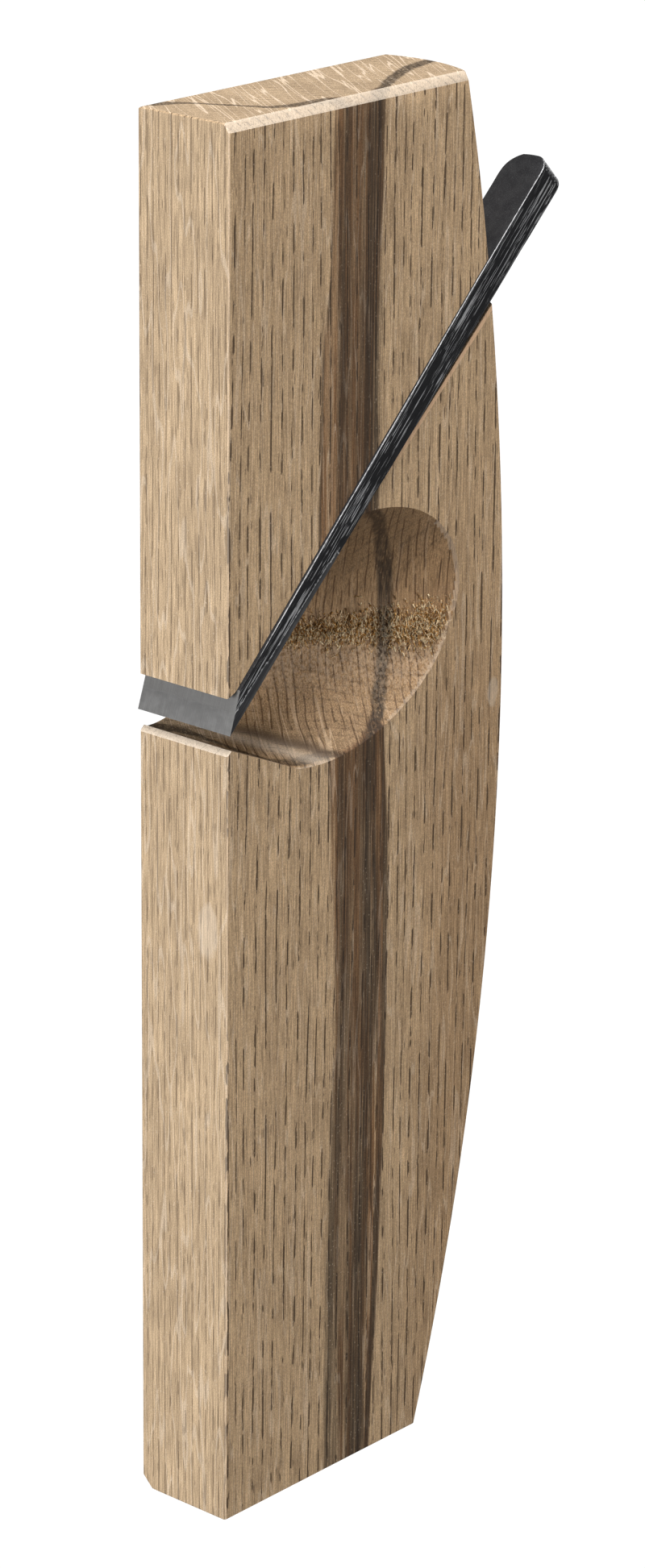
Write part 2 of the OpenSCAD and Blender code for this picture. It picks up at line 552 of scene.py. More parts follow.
    def noise(self, vector: Feed, scale: float = 1.0, detail: float = 2.0, rough: float = 0.5) -> Output:
        """Noise value at a vector."""
        node = self.add("ShaderNodeTexNoise")
        self.feed(node.inputs["Vector"], vector)
        self.feed(node.inputs["Scale"], scale)
        self.feed(node.inputs["Detail"], detail)
        self.feed(node.inputs["Roughness"], rough)
        return node.outputs[0]

    def cells(self, vector: Feed) -> Node:
        """Voronoi cells one unit across, for their distance and their random colour."""
        node = self.add("ShaderNodeTexVoronoi", feature="F1")
        self.feed(node.inputs["Vector"], vector)
        self.feed(node.inputs["Scale"], 1.0)
        return node

    def curve(self, value: Feed, low: Pair, high: Pair, knots: Sequence[Pair]) -> Output:
        """Reads a smooth curve through given points.

        Args:
            value: What the curve is read at.
            low: Lowest input and lowest output of the curve's box.
            high: Highest input and highest output of the curve's box.
            knots: The curve's points, in the box's own units.

        Returns:
            The value of the curve.
        """
        width, rise = high[0] - low[0], high[1] - low[1]
        node = self.add("ShaderNodeFloatCurve")
        line = node.mapping.curves[0]
        while len(line.points) < len(knots):
            line.points.new(0.5, 0.5)
        for point, (x, y) in zip(line.points, knots):
            point.location = ((x - low[0]) / width, (y - low[1]) / rise)
        node.mapping.update()
        self.feed(node.inputs["Value"], self.step(value, low[0], high[0], way="LINEAR"))
        return self.line(node.outputs[0], rise, low[1])

    def bump(self, height: Feed, distance: float, strength: float, normal: Output | None = None) -> Output:
        """A Bump node over a height.

        Args:
            height: The height map.
            distance: How deep its full range is, in metres.
            strength: How much of it shows.
            normal: Another bump's output to stand on.

        Returns:
            The bumped normal.
        """
        node = self.add("ShaderNodeBump")
        self.feed(node.inputs["Height"], height)
        node.inputs["Distance"].default_value = distance
        node.inputs["Strength"].default_value = strength
        if normal is not None:
            self.feed(node.inputs["Normal"], normal)
        return node.outputs[0]

    def use(self, group: Tree, **values: Feed) -> Outputs:
        """Places a node group and feeds its inputs, with _ in a name for a space."""
        node = self.add("ShaderNodeGroup", node_tree=group)
        for key, value in values.items():
            self.feed(node.inputs[key.replace("_", " ")], value)
        return node.outputs


def new_group(
    name: str, settings: dict[str, float], outs: Sequence[str]
) -> tuple[Graph, Outputs, bpy.types.NodeInputs]:
    """Starts a shader node group that is read at a position.

    Args:
        name: Name of the group.
        settings: First value of each input after the position, by name.
        outs: Names of the outputs, each a value.

    Returns:
        The graph of the group, what goes into it and the sockets that take what comes out.
    """
    tree = bpy.data.node_groups.new(name, "ShaderNodeTree")
    tree.interface.new_socket("Position", in_out="INPUT", socket_type="NodeSocketVector")
    for label, value in settings.items():
        tree.interface.new_socket(label, in_out="INPUT", socket_type="NodeSocketFloat").default_value = value
    for label in outs:
        tree.interface.new_socket(label, in_out="OUTPUT", socket_type="NodeSocketFloat")
    graph = Graph(tree)
    return graph, graph.add("NodeGroupInput").outputs, graph.add("NodeGroupOutput").inputs


def new_material(name: str) -> tuple[Material, Graph, Node, Output]:
    """Starts a material.

    Args:
        name: Name of the material.

    Returns:
        The material, its graph, its Principled BSDF and its position output in millimetres.
    """
    material = bpy.data.materials.new(name)
    material.use_nodes = True
    graph = Graph(material.node_tree)
    shader = next(n for n in material.node_tree.nodes if n.type == "BSDF_PRINCIPLED")
    place = graph.add("ShaderNodeTexCoord").outputs["Object"]
    return material, graph, shader, graph.scaled(place, (MM, MM, MM))


# ---- Shared effects ----


@dataclass(frozen=True)
class OakFigure:
    """The inner figure of ring-porous oak: rings, vessels, rays and a dark heartwood seam."""

    ray_y: float = 0.84
    ray_z: float = 0.54
    ring: float = 1.25
    row_half: float = 0.10
    vessel_length: float = 4.6
    vessel_spacing: float = 0.55
    row_cut: Pair = (-0.035, 0.015)
    hole_cut: Pair = (-0.05, 0.03)
    fine_size: Triple = (5.0, 0.3, 0.3)
    fine_share: float = 0.45
    ray_size: Triple = (26.0, 30.0, 1.5)
    fine_ray_size: Triple = (9.0, 22.0, 0.26)
    drawn_gap: float = 1.5
    drawn_half: Pair = (0.06, 0.13)
    drawn_wave: Triple = (9.0, 5.0, 5.0)
    sway_size: Triple = (150.0, 22.0, 22.0)
    ripple_size: Triple = (48.0, 6.0, 6.0)
    sway_out: float = 2.6
    sway_side: float = 1.8
    pace_size: float = 4.5
    shake_size: Triple = (18.0, 2.5, 2.5)
    shake: float = 2.2
    thread_size: Triple = (34.0, 0.42, 0.42)
    uneven_size: Triple = (50.0, 1.1, 1.1)
    fibre_size: Triple = (8.0, 0.19, 0.19)
    patch_size: Triple = (34.0, 7.0, 7.0)
    half_length: float = 120.0
    crown: float = 72.0
    seam_half: Pair = (0.2, 1.15)
    open_skin: Pair = (-9.4, -8.4)
    seam_depths: tuple[Pair, ...] = (
        (0.0, 10.0), (5.0, 8.4), (9.5, 2.9), (12.0, -1.5), (17.0, -6.8), (25.0, -7.9),
        (30.0, -9.8), (35.0, -9.2), (41.0, -6.0), (47.0, -2.9), (55.0, 0.1), (72.0, 1.8),
    )
    stain_low: tuple[Pair, ...] = (
        (-120.0, 24.6), (-97.0, 23.8), (-62.0, 21.4), (-30.0, 22.4),
        (0.0, 25.0), (27.0, 26.2), (72.0, 27.0), (120.0, 29.0),
    )
    stain_high: tuple[Pair, ...] = (
        (-120.0, 36.8), (-97.0, 36.3), (-62.0, 34.8), (-30.0, 36.4),
        (0.0, 39.2), (27.0, 39.9), (72.0, 39.0), (120.0, 36.5),
    )
    seam_drift: tuple[Pair, ...] = (
        (-120.0, -0.4), (-65.0, -0.9), (0.0, 0.0), (22.0, 0.9), (44.0, 0.4), (73.0, -1.3), (120.0, -1.8),
    )

    def vessels(self, g: Graph, x: Output, out: Output, side: Output, year: Output, share: Output) -> Output:
        """Draws the vessel rows of each ring and the scattered vessels between them.

        Args:
            g: Graph of the group.
            x: Place along the grain.
            out: Place across the rings.
            side: Place along the rings.
            year: Count of rings.
            share: How many scattered vessels there are.

        Returns:
            The mask of the open vessels.
        """
        row = g.math("FLOOR", year)
        middle = g.less(g.less(year, row), 0.5)
        away = g.times(g.size(middle), self.ring)
        run = g.noise(g.join(g.over(x, self.vessel_length), g.times(row, 5.7), g.over(side, 0.7)))
        half = g.times(g.step(run, 0.46, 0.56), self.row_half)
        rows = g.fade(g.less(away, half), *self.row_cut)
        gap = self.vessel_spacing
        cells = g.cells(g.shrink((x, out, side), (self.vessel_length, gap, gap)))
        luck = g.split(cells.outputs["Color"])
        width = g.line(luck[1], 0.1, 0.15)
        hole = g.fade(g.less(cells.outputs["Distance"], width), *self.hole_cut)
        loose = g.times(hole, g.math("LESS_THAN", luck[0], share))
        return g.most(rows, g.times(loose, g.line(luck[2], 0.5, 0.4)))

    def seam(self, g: Graph, place: Output, x: Output, y: Output, z: Output) -> tuple[Output, Output]:
        """Draws the dark seam, a curved sheet in the heartwood with a brown stain on its outer side.

        Args:
            g: Graph of the group.
            place: Position in millimetres.
            x: Its part along the grain.
            y: Its part across the width.
            z: Its part up the body.

        Returns:
            The mask of the dark threads and the mask of the stain.
        """
        end = self.half_length
        drift = g.curve(x, (-end, -2.0), (end, 2.0), self.seam_drift)
        shake = g.less(g.noise(g.scaled(place, self.shake_size), detail=3.0), 0.5)
        height = g.plus(g.less(z, drift), g.times(shake, self.shake))
        depth = g.curve(height, (0.0, -10.0), (self.crown, 10.0), self.seam_depths)
        off = g.plus(g.less(y, depth), 0.5)
        threads = g.noise(g.scaled(place, self.thread_size), detail=3.0, rough=0.6)
        high = g.times(g.step(height, 30.0, 33.0, 0.9, 1.0), g.step(z, 0.8, 2.4))
        buried = g.step(y, *self.open_skin)
        core = g.fade(g.less(g.size(off), g.times(buried, 0.5)), *self.seam_half)
        core = g.times(g.times(core, high), g.step(threads, 0.33, 0.55, 0.5, 1.0))
        wave = g.times(shake, 1.3)
        above = g.less(g.plus(z, wave), g.curve(x, (-end, 18.0), (end, 32.0), self.stain_low))
        below = g.less(g.curve(x, (-end, 32.0), (end, 42.0), self.stain_high), g.plus(z, wave))
        window = g.times(g.step(above, -0.5, 0.9), g.step(below, -0.3, 0.5))
        toward_toe = g.step(x, -30.0, 30.0)
        uneven = g.noise(g.scaled(place, self.uneven_size), detail=3.0, rough=0.6)
        stain = g.times(window, g.fade(off, 0.6, 1.8))
        stain = g.times(stain, g.step(uneven, 0.42, 0.54, g.line(toward_toe, -0.3, 0.6), 1.0))
        left = g.fade(g.size(g.less(above, 0.45)), 0.1, 0.5)
        right = g.fade(g.size(g.less(below, 0.7)), 0.35, 1.0)
        left = g.times(left, g.line(g.step(threads, 0.42, 0.56), 0.6, 0.1))
        right = g.times(right, g.step(threads, 0.3, 0.5, 0.45, 0.9))
        streaks = g.times(g.step(uneven, 0.53, 0.58), g.line(toward_toe, 0.72, 0.08))
        streaks = g.times(g.times(window, streaks), g.step(threads, 0.35, 0.55, 0.4, 1.0))
        rims = g.times(g.most(left, right), g.fade(y, -9.3, -8.3))
        return g.most(core, g.most(streaks, rims)), stain

    def build(self) -> Tree:
        """Makes the node group.

        Returns:
            A group that puts out the figure at a position in millimetres.
        """
        g, ins, outs = new_group(
            "oak figure",
            {"Vessel share": 0.5},
            ("Rings", "Vessels", "Fine vessels", "Rays", "Ray shade",
             "Seam", "Stain", "Fibre", "Patches", "Upper darkening"),
        )
        place = ins["Position"]
        x, y, z = g.split(place)
        sway = g.less(g.noise(g.scaled(place, self.sway_size), detail=1.0), 0.5)
        ripple = g.less(g.noise(g.scaled(place, self.ripple_size), detail=1.0), 0.5)
        bend = g.line(sway, self.sway_out, g.times(ripple, 0.6))
        out = g.plus(g.line(y, self.ray_y, g.times(z, self.ray_z)), bend)
        side = g.less(g.times(z, self.ray_y), g.times(y, self.ray_z))
        side = g.line(sway, self.sway_side, side)
        pace = g.noise(g.join(g.over(out, self.pace_size), 0.0, 0.0), detail=1.0)
        year = g.line(pace, 1.6, g.over(out, self.ring))
        season = g.math("FRACT", year)
        early = g.times(g.step(season, 0.3, 0.45), g.fade(season, 0.55, 0.95))
        g.feed(outs["Rings"], early)
        share = g.line(early, 0.3, g.times(ins["Vessel share"], 0.5))
        g.feed(outs["Vessels"], self.vessels(g, x, out, side, year, share))
        fine = g.cells(g.shrink((x, out, side), self.fine_size))
        luck = g.split(fine.outputs["Color"])
        hole = g.fade(fine.outputs["Distance"], 0.16, 0.3)
        g.feed(outs["Fine vessels"], g.times(hole, g.math("LESS_THAN", luck[0], self.fine_share)))
        contour = g.noise(g.shrink((x, out, side), self.ray_size), detail=1.0)
        broad = g.fade(g.size(g.less(contour, 0.5)), 0.008, 0.026)
        thin = g.noise(g.shrink((x, out, side), self.fine_ray_size))
        g.feed(outs["Rays"], g.most(broad, g.times(g.step(thin, 0.6, 0.72), 0.5)))
        count = g.over(side, self.drawn_gap)
        count = g.plus(count, g.noise(g.scaled(place, self.drawn_wave), detail=1.0))
        plane = g.math("FLOOR", count)
        middle = g.size(g.less(g.less(count, plane), 0.5))
        run = g.noise(g.join(g.over(x, 4.0), g.times(plane, 3.3), g.over(y, 6.0)))
        drawn = g.times(g.fade(middle, *self.drawn_half), g.step(run, 0.40, 0.5))
        g.feed(outs["Ray shade"], g.most(drawn, g.step(thin, 0.3, 0.4, 0.35, 0.0)))
        seam, stain = self.seam(g, place, x, y, z)
        g.feed(outs["Seam"], seam)
        g.feed(outs["Stain"], stain)
        # Darker high on the body, toward the crown, fading out toward the heel.
        g.feed(outs["Upper darkening"], g.times(g.step(z, 40.0, 58.0), g.step(x, -75.0, 0.0)))
        g.feed(outs["Fibre"], g.noise(g.scaled(place, self.fibre_size), detail=4.0, rough=0.65))
        g.feed(outs["Patches"], g.noise(g.scaled(place, self.patch_size), detail=3.0, rough=0.55))
        return g.tree


def build_mottle() -> Tree:
    """Makes the fine speckle that every finish has.

    Returns:
        A group with a soft mottle, a fine speckle and rare bright flecks, which the oak uses as painted
        glints.
    """
    g, ins, outs = new_group("mottle", {"Size": 1.0}, ("Soft", "Speckle", "Glints"))
    spread = g.vector_math("SCALE", ins["Position"])
    g.feed(spread.inputs["Scale"], g.over(1.0, ins["Size"]))
    place = spread.outputs[0]
    g.feed(outs["Soft"], g.noise(place, scale=0.35, detail=3.0))
    g.feed(outs["Speckle"], g.noise(place, scale=4.0, detail=3.0, rough=0.7))
    cells = g.cells(place)
    luck = g.split(cells.outputs["Color"])
    dot = g.fade(cells.outputs["Distance"], 0.1, 0.24)
    g.feed(outs["Glints"], g.times(dot, g.math("GREATER_THAN", luck[1], 0.55)))
    return g.tree


def build_arris_wear() -> Tree:
    """Makes the wear that shows bright metal along worn arrises and drawn scratches.

    Returns:
        A group with a mask of bare arris and a mask of bare scratches.
    """
    g, ins, outs = new_group("arris wear", {"Arris": 0.0, "Reach": 0.5}, ("Bare arris", "Scratches"))
    turn = g.add("ShaderNodeVectorRotate", rotation_type="Y_AXIS")
    g.feed(turn.inputs["Vector"], ins["Position"])
    turn.inputs["Angle"].default_value = -math.radians(Bed().angle_deg)
    along = turn.outputs[0]
    chatter = g.noise(g.scaled(along, (0.55, 0.3, 0.3)), detail=3.0, rough=0.7)
    worn = g.plus(ins["Arris"], g.line(chatter, 1.6, -0.8))
    g.feed(outs["Bare arris"], g.step(worn, g.less(1.0, ins["Reach"]), 1.05))
    fine = g.noise(g.scaled(along, (13.0, 0.2, 0.2)), detail=2.0, rough=0.6)
    broken = g.noise(g.scaled(along, (2.6, 0.5, 0.5)), detail=1.0)
    g.feed(outs["Scratches"], g.times(g.step(fine, 0.56, 0.60), g.step(broken, 0.34, 0.48)))
    return g.tree


# ---- Finishes ----


@dataclass(frozen=True)
class OakFinish:
    """Planed oak, bare or lightly oiled."""

    light: Colour = (0.50, 0.352, 0.210)
    early: Colour = (0.41, 0.285, 0.168)
    vessel: Colour = (0.058, 0.032, 0.015)
    ray: Colour = (0.74, 0.58, 0.42)
    stain: Colour = (0.43, 0.30, 0.20)
    seam: Colour = (0.034, 0.021, 0.012)
    fresh: Colour = (0.76, 0.64, 0.51)
    # Tint of the escapement's wall: the cut wood's warmer tone, and partly painted shade of the recess.
    hollow: Colour = (0.76, 0.68, 0.58)
    # Colour of the painted shade in the escapement.
    painted_shade: Colour = (0.10, 0.062, 0.036)
    broken: Colour = (0.72, 0.47, 0.29)
    bed: Bed = Bed()
    scuffs: tuple[tuple[Colour, Colour], ...] = (
        ((14.0, -5.4, 0.0), (5.5, 2.6, 1.5)),
        ((-12.0, -9.7, 66.5), (3.0, 1.5, 1.6)),
    )
    torn: Colour = (0.34, 0.18, 0.055)
    torn_pale: Colour = (0.86, 0.66, 0.40)
    end_tint: Colour = (0.98, 1.03, 1.12)
    # Painted sheen: the sole's glare, as a cooler, greyer tint.
    sole_sheen_tint: Colour = (0.96, 1.01, 1.08)
    # Tint for the darkening high on the body, toward the crown and the toe.
    upper_darkening: Colour = (0.80, 0.75, 0.70)
    ray_shade: Colour = (0.42, 0.36, 0.31)
    rough: float = 0.62
    gloss: float = 0.35
    pit_depth: float = 0.00010
    grain_depth: float = 0.00008
    relief_from: float = 44.0
    relief: float = 0.021

    def wood(self, g: Graph, oak: Outputs, fine: Outputs, end: Output, quiet: Output) -> Output:
        """Colours the planed wood.

        Args:
            g: Graph of the material.
            oak: Outputs of the oak figure.
            fine: Outputs of the mottle.
            end: How much of an end-grain face it is.
            quiet: How much the vessels are hidden, on the sole and in the hollow.

        Returns:
            The colour.
        """
        colour = g.mix(g.times(oak["Rings"], 0.5), self.light, self.early)
        patches = g.mix(g.step(oak["Patches"], 0.3, 0.72), (0.88, 0.87, 0.86), (1.08, 1.08, 1.08))
        colour = g.tint(colour, patches)
        fibre = g.mix(g.step(oak["Fibre"], 0.32, 0.68), (0.60, 0.57, 0.54), (1.32, 1.31, 1.29))
        colour = g.tint(colour, fibre)
        colour = g.part_tint(end, colour, self.end_tint)
        # Darker high on the body, toward the crown, fading out toward the heel.
        colour = g.part_tint(oak["Upper darkening"], colour, self.upper_darkening)
        colour = g.part_tint(g.times(oak["Stain"], 0.9), colour, self.stain)
        colour = g.mix(g.times(oak["Rays"], g.line(end, 0.75, 0.3)), colour, self.ray)
        colour = g.mix(g.times(oak["Fine vessels"], 0.35), colour, self.vessel)
        deep = g.times(g.line(end, -0.45, 0.9), g.less(1.0, quiet))
        colour = g.mix(g.times(oak["Vessels"], deep), colour, self.vessel)
        colour = g.mix(g.times(oak["Seam"], 0.9), colour, self.seam)
        speckle = g.mix(g.step(fine["Speckle"], 0.32, 0.68), (0.78, 0.78, 0.78), (1.24, 1.24, 1.24))
        colour = g.tint(colour, speckle)
        # Painted glints: rare bright flecks in the ray colour, fewer on the stain.
        painted_glint = g.times(fine["Glints"], g.line(oak["Stain"], -0.24, 0.3))
        return g.mix(painted_glint, colour, self.ray)

    def scuff(self, g: Graph, place: Output, fine: Outputs) -> Output:
        """Masks the few pale rubbed spots.

        Args:
            g: Graph of the material.
            place: Position in millimetres.
            fine: Outputs of the mottle.

        Returns:
            The mask.
        """
        mask = 0.0
        for centre, size in self.scuffs:
            near = g.scaled(g.moved(place, tuple(-v for v in centre)), size)
            ragged = g.line(fine["Soft"], 0.5, g.vector_math("LENGTH", near).outputs["Value"])
            mask = g.most(mask, g.fade(ragged, 0.95, 1.25))
        return mask

    def abutment(self, g: Graph, place: Output, fine: Outputs) -> Output:
        """Masks the broken arris of the groove in front of the iron, high on the open side.

        Args:
            g: Graph of the material.
            place: Position in millimetres.
            fine: Outputs of the mottle.

        Returns:
            The mask.
        """
        a, taper = math.radians(self.bed.angle_deg), math.tan(math.radians(self.bed.taper_deg))
        foot = Vector((self.bed.foot[0], 0, self.bed.foot[1]))
        up_way = Vector((-math.cos(a), 0, math.sin(a)))
        off_way = Vector((math.sin(a), 0, math.cos(a))) - up_way * taper
        reads = []
        for way in (up_way, off_way):
            dot = g.vector_math("DOT_PRODUCT", place, way)
            reads.append(g.less(dot.outputs["Value"], foot.dot(way)))
        up, off = reads
        relief = g.times(g.most(g.less(up, self.relief_from), 0.0), self.relief)
        off = g.less(g.less(off, self.bed.iron_t), relief)
        ragged = g.line(fine["Speckle"], 0.6, 0.45)
        strip = g.fade(g.less(off, ragged), 0.0, 0.15)
        reach = g.times(g.step(up, 50.0, 62.0), g.fade(g.split(place)[1], -9.6, -9.4))
        return g.times(g.times(strip, reach), g.step(off, -0.3, -0.1))

    def build(self, figure: Tree, mottle: Tree) -> Material:
        """Makes the material of the body.

        Args:
            figure: The oak figure group.
            mottle: The shared speckle group.

        Returns:
            The material.
        """
        material, g, shader, place = new_material("planed oak")
        oak = g.use(figure, Position=place, Vessel_share=0.3)
        fine = g.use(mottle, Position=place, Size=0.8)
        marks = g.add("ShaderNodeVertexColor", layer_name="marks").outputs
        paint = (*g.split(marks["Color"]), marks["Alpha"])
        normal = g.split(g.add("ShaderNodeNewGeometry").outputs["True Normal"])
        end = g.step(g.size(normal[0]), 0.45, 0.9)
        hollow = g.step(paint[Band.HOLLOW.value], 0.2, 0.5)
        sole = g.fade(normal[2], -0.98, -0.9)
        quiet = g.most(g.times(sole, 0.5), g.times(hollow, 0.78))
        colour = self.wood(g, oak, fine, end, quiet)
        # Painted sheen on the sole: a cooler, greyer tint for its glare.
        colour = g.part_tint(sole, colour, self.sole_sheen_tint)
        colour = g.mix(g.times(self.scuff(g, place, fine), 0.3), colour, self.fresh)
        # The escapement's wall: warmer cut wood, partly darkened as painted shade of the recess.
        colour = g.part_tint(hollow, colour, self.hollow)
        lines = g.times(hollow, oak["Ray shade"])
        colour = g.part_tint(lines, colour, self.ray_shade)
        # Painted shade: the toe wall's inner corner and the wall behind the heel side, from hollow paint
        # above 0.5.
        painted_shade = g.step(paint[Band.HOLLOW.value], 0.55, 1.0)
        colour = g.mix(g.times(painted_shade, 0.8), colour, self.painted_shade)
        clumps = g.use(mottle, Position=place, Size=2.4)
        ragged = g.step(clumps["Speckle"], 0.40, 0.58)
        wool = g.mix(ragged, g.tint(colour, (0.50, 0.46, 0.42)), self.ray)
        colour = g.mix(g.times(paint[Band.WOOLLY.value], 0.5), colour, wool)
        torn_colour = g.mix(ragged, g.tint(self.torn, (0.42, 0.38, 0.34)), self.torn)
        torn_colour = g.mix(g.step(clumps["Speckle"], 0.54, 0.62), torn_colour, self.torn_pale)
        colour = g.mix(g.times(paint[Band.TORN.value], 0.9), colour, torn_colour)
        colour = g.mix(g.times(oak["Seam"], g.times(paint[Band.TORN.value], 0.6)), colour, self.seam)
        # Pale paint: fresh chamfers and broken arrises, and painted light on the toe wall's lip.
        chalk = g.times(paint[Band.FRESH.value], g.step(oak["Fibre"], 0.25, 0.6, 0.45, 0.95))
        colour = g.mix(chalk, colour, self.fresh)
        colour = g.mix(g.times(self.abutment(g, place, fine), 0.8), colour, self.broken)
        g.feed(shader.inputs["Base Color"], colour)

        g.feed(shader.inputs["Roughness"], g.line(fine["Soft"], 0.2, self.rough - 0.1))
        shader.inputs["Specular IOR Level"].default_value = self.gloss
        pits = g.line(oak["Fine vessels"], 0.35, oak["Vessels"])
        bumped = g.bump(g.less(1.0, pits), self.pit_depth, 0.8)
        rag = g.most(paint[Band.TORN.value], g.times(paint[Band.WOOLLY.value], 0.6))
        grain = g.times(g.plus(fine["Speckle"], oak["Fibre"]), g.line(rag, 3.0, 0.5))
        g.feed(shader.inputs["Normal"], g.bump(grain, self.grain_depth, 0.7, bumped))
        return material


@dataclass(frozen=True)
class FibreFinish:
    """Loose ends of torn oak fibre, paler and more golden than the planed face."""

    pale: Colour = (1.0, 0.83, 0.55)
    gold: Colour = (0.62, 0.32, 0.08)
    root: Colour = (0.16, 0.09, 0.04)
    seam: Colour = (0.10, 0.08, 0.07)
    rough: float = 0.55
    gloss: float = 0.5
    grain_depth: float = 0.00003

    def build(self, figure: Tree, mottle: Tree) -> Material:
        """Makes the material of the torn fibres.

        Args:
            figure: The oak figure group.
            mottle: The shared speckle group.

        Returns:
            The material.
        """
        material, g, shader, place = new_material("torn oak fibre")
        oak = g.use(figure, Position=place, Vessel_share=0.2)
        fine = g.use(mottle, Position=place, Size=0.7)
        clumps = g.use(mottle, Position=place, Size=2.6)
        colour = g.mix(g.step(clumps["Speckle"], 0.46, 0.55), self.gold, self.pale)
        colour = g.mix(g.step(clumps["Speckle"], 0.36, 0.42, 0.75, 0.0), colour, self.root)
        colour = g.mix(g.times(oak["Seam"], 0.7), colour, self.seam)
        g.feed(shader.inputs["Base Color"], colour)
        g.feed(shader.inputs["Roughness"], g.line(fine["Soft"], 0.2, self.rough - 0.1))
        shader.inputs["Specular IOR Level"].default_value = self.gloss
        g.feed(shader.inputs["Normal"], g.bump(oak["Fibre"], self.grain_depth, 0.5))
        return material


@dataclass(frozen=True)
class ScaleFinish:
    """Forge scale on the iron's backing, rubbed bright along its arrises."""

    scale: Colour = (0.017, 0.017, 0.019)
    haze: Colour = (0.027, 0.027, 0.029)
    bare: Colour = (0.62, 0.62, 0.63)
    grain: Colour = (0.085, 0.085, 0.09)
    side: Colour = (0.007, 0.007, 0.008)
    ground_low: Colour = (0.165, 0.163, 0.16)
    ground: Colour = (0.20, 0.198, 0.194)
    line_size: Triple = (6.0, 0.09, 6.0)
    gloss: float = 0.2
    grain_depth: float = 0.00006

    def build(self, wear: Tree, mottle: Tree) -> Material:
        """Makes the material of the iron's backing.

        Args:
            wear: The arris wear group.
            mottle: The shared speckle group.

        Returns:
            The material.
        """
        material, g, shader, place = new_material("forge scale")
        marks = g.split(g.add("ShaderNodeVertexColor", layer_name="marks").outputs["Color"])
        fine = g.use(mottle, Position=place, Size=0.6)
        worn = g.use(wear, Position=place, Arris=marks[0], Reach=0.45)
        colour = g.mix(g.step(fine["Soft"], 0.3, 0.7), self.scale, self.haze)
        colour = g.mix(g.step(fine["Speckle"], 0.52, 0.66, 0.0, 0.6), colour, self.grain)
        colour = g.mix(g.times(marks[1], 0.7), colour, self.side)
        side = g.times(marks[1], worn["Scratches"])
        bright = g.math("MAXIMUM", worn["Bare arris"], g.times(side, 0.95), clamp=True)
        colour = g.mix(g.times(bright, 0.85), colour, self.bare)
        lines = g.noise(g.scaled(place, self.line_size), detail=2.0)
        ground = g.mix(g.step(lines, 0.3, 0.7), self.ground_low, self.ground)
        colour = g.mix(marks[2], colour, ground)
        g.feed(shader.inputs["Base Color"], colour)
        metal = g.math("MAXIMUM", bright, marks[2], clamp=True)
        g.feed(shader.inputs["Metallic"], g.line(metal, 0.75, 0.1))
        shader.inputs["Specular IOR Level"].default_value = self.gloss
        g.feed(shader.inputs["Roughness"], g.line(fine["Speckle"], 0.25, 0.42))
        height = g.plus(fine["Speckle"], g.times(side, 0.8))
        g.feed(shader.inputs["Normal"], g.bump(height, self.grain_depth, 0.6))
        return material


@dataclass(frozen=True)
class SteelFinish:
    """Ground hard steel at the cutting edge, darker where it was left from the forge."""

    ground: Colour = (0.17, 0.168, 0.165)
    bright: Colour = (0.215, 0.213, 0.21)
    side: Colour = (0.03, 0.03, 0.033)
    bare: Colour = (0.8, 0.8, 0.8)
    clouds: tuple[Colour, Colour] = ((0.86, 0.86, 0.86), (1.05, 1.05, 1.05))
    line_size: Triple = (6.0, 0.09, 6.0)
    line_depth: float = 0.00001

    def build(self, wear: Tree, mottle: Tree) -> Material:
        """Makes the material of the steel layer.

        Args:
            wear: The arris wear group.
            mottle: The shared speckle group.

        Returns:
            The material.
        """
        material, g, shader, place = new_material("ground steel")
        marks = g.split(g.add("ShaderNodeVertexColor", layer_name="marks").outputs["Color"])
        fine = g.use(mottle, Position=place, Size=0.5)
        worn = g.use(wear, Position=place, Arris=marks[0], Reach=0.3)
        lines = g.noise(g.scaled(place, self.line_size), detail=2.0)
        colour = g.mix(g.step(lines, 0.3, 0.7), self.ground, self.bright)
        colour = g.tint(colour, g.mix(g.step(fine["Soft"], 0.3, 0.7), *self.clouds))
        dark = g.times(marks[1], g.less(1.0, g.times(worn["Scratches"], 0.25)))
        colour = g.mix(dark, colour, self.side)
        colour = g.mix(g.times(worn["Bare arris"], 0.8), colour, self.bare)
        g.feed(shader.inputs["Base Color"], colour)
        g.feed(shader.inputs["Metallic"], g.line(marks[1], -0.3, 0.6))
        g.feed(shader.inputs["Roughness"], g.line(lines, 0.2, 0.38))
        g.feed(shader.inputs["Normal"], g.bump(lines, self.line_depth, 0.5))
        return material


# ---- The oak body ----


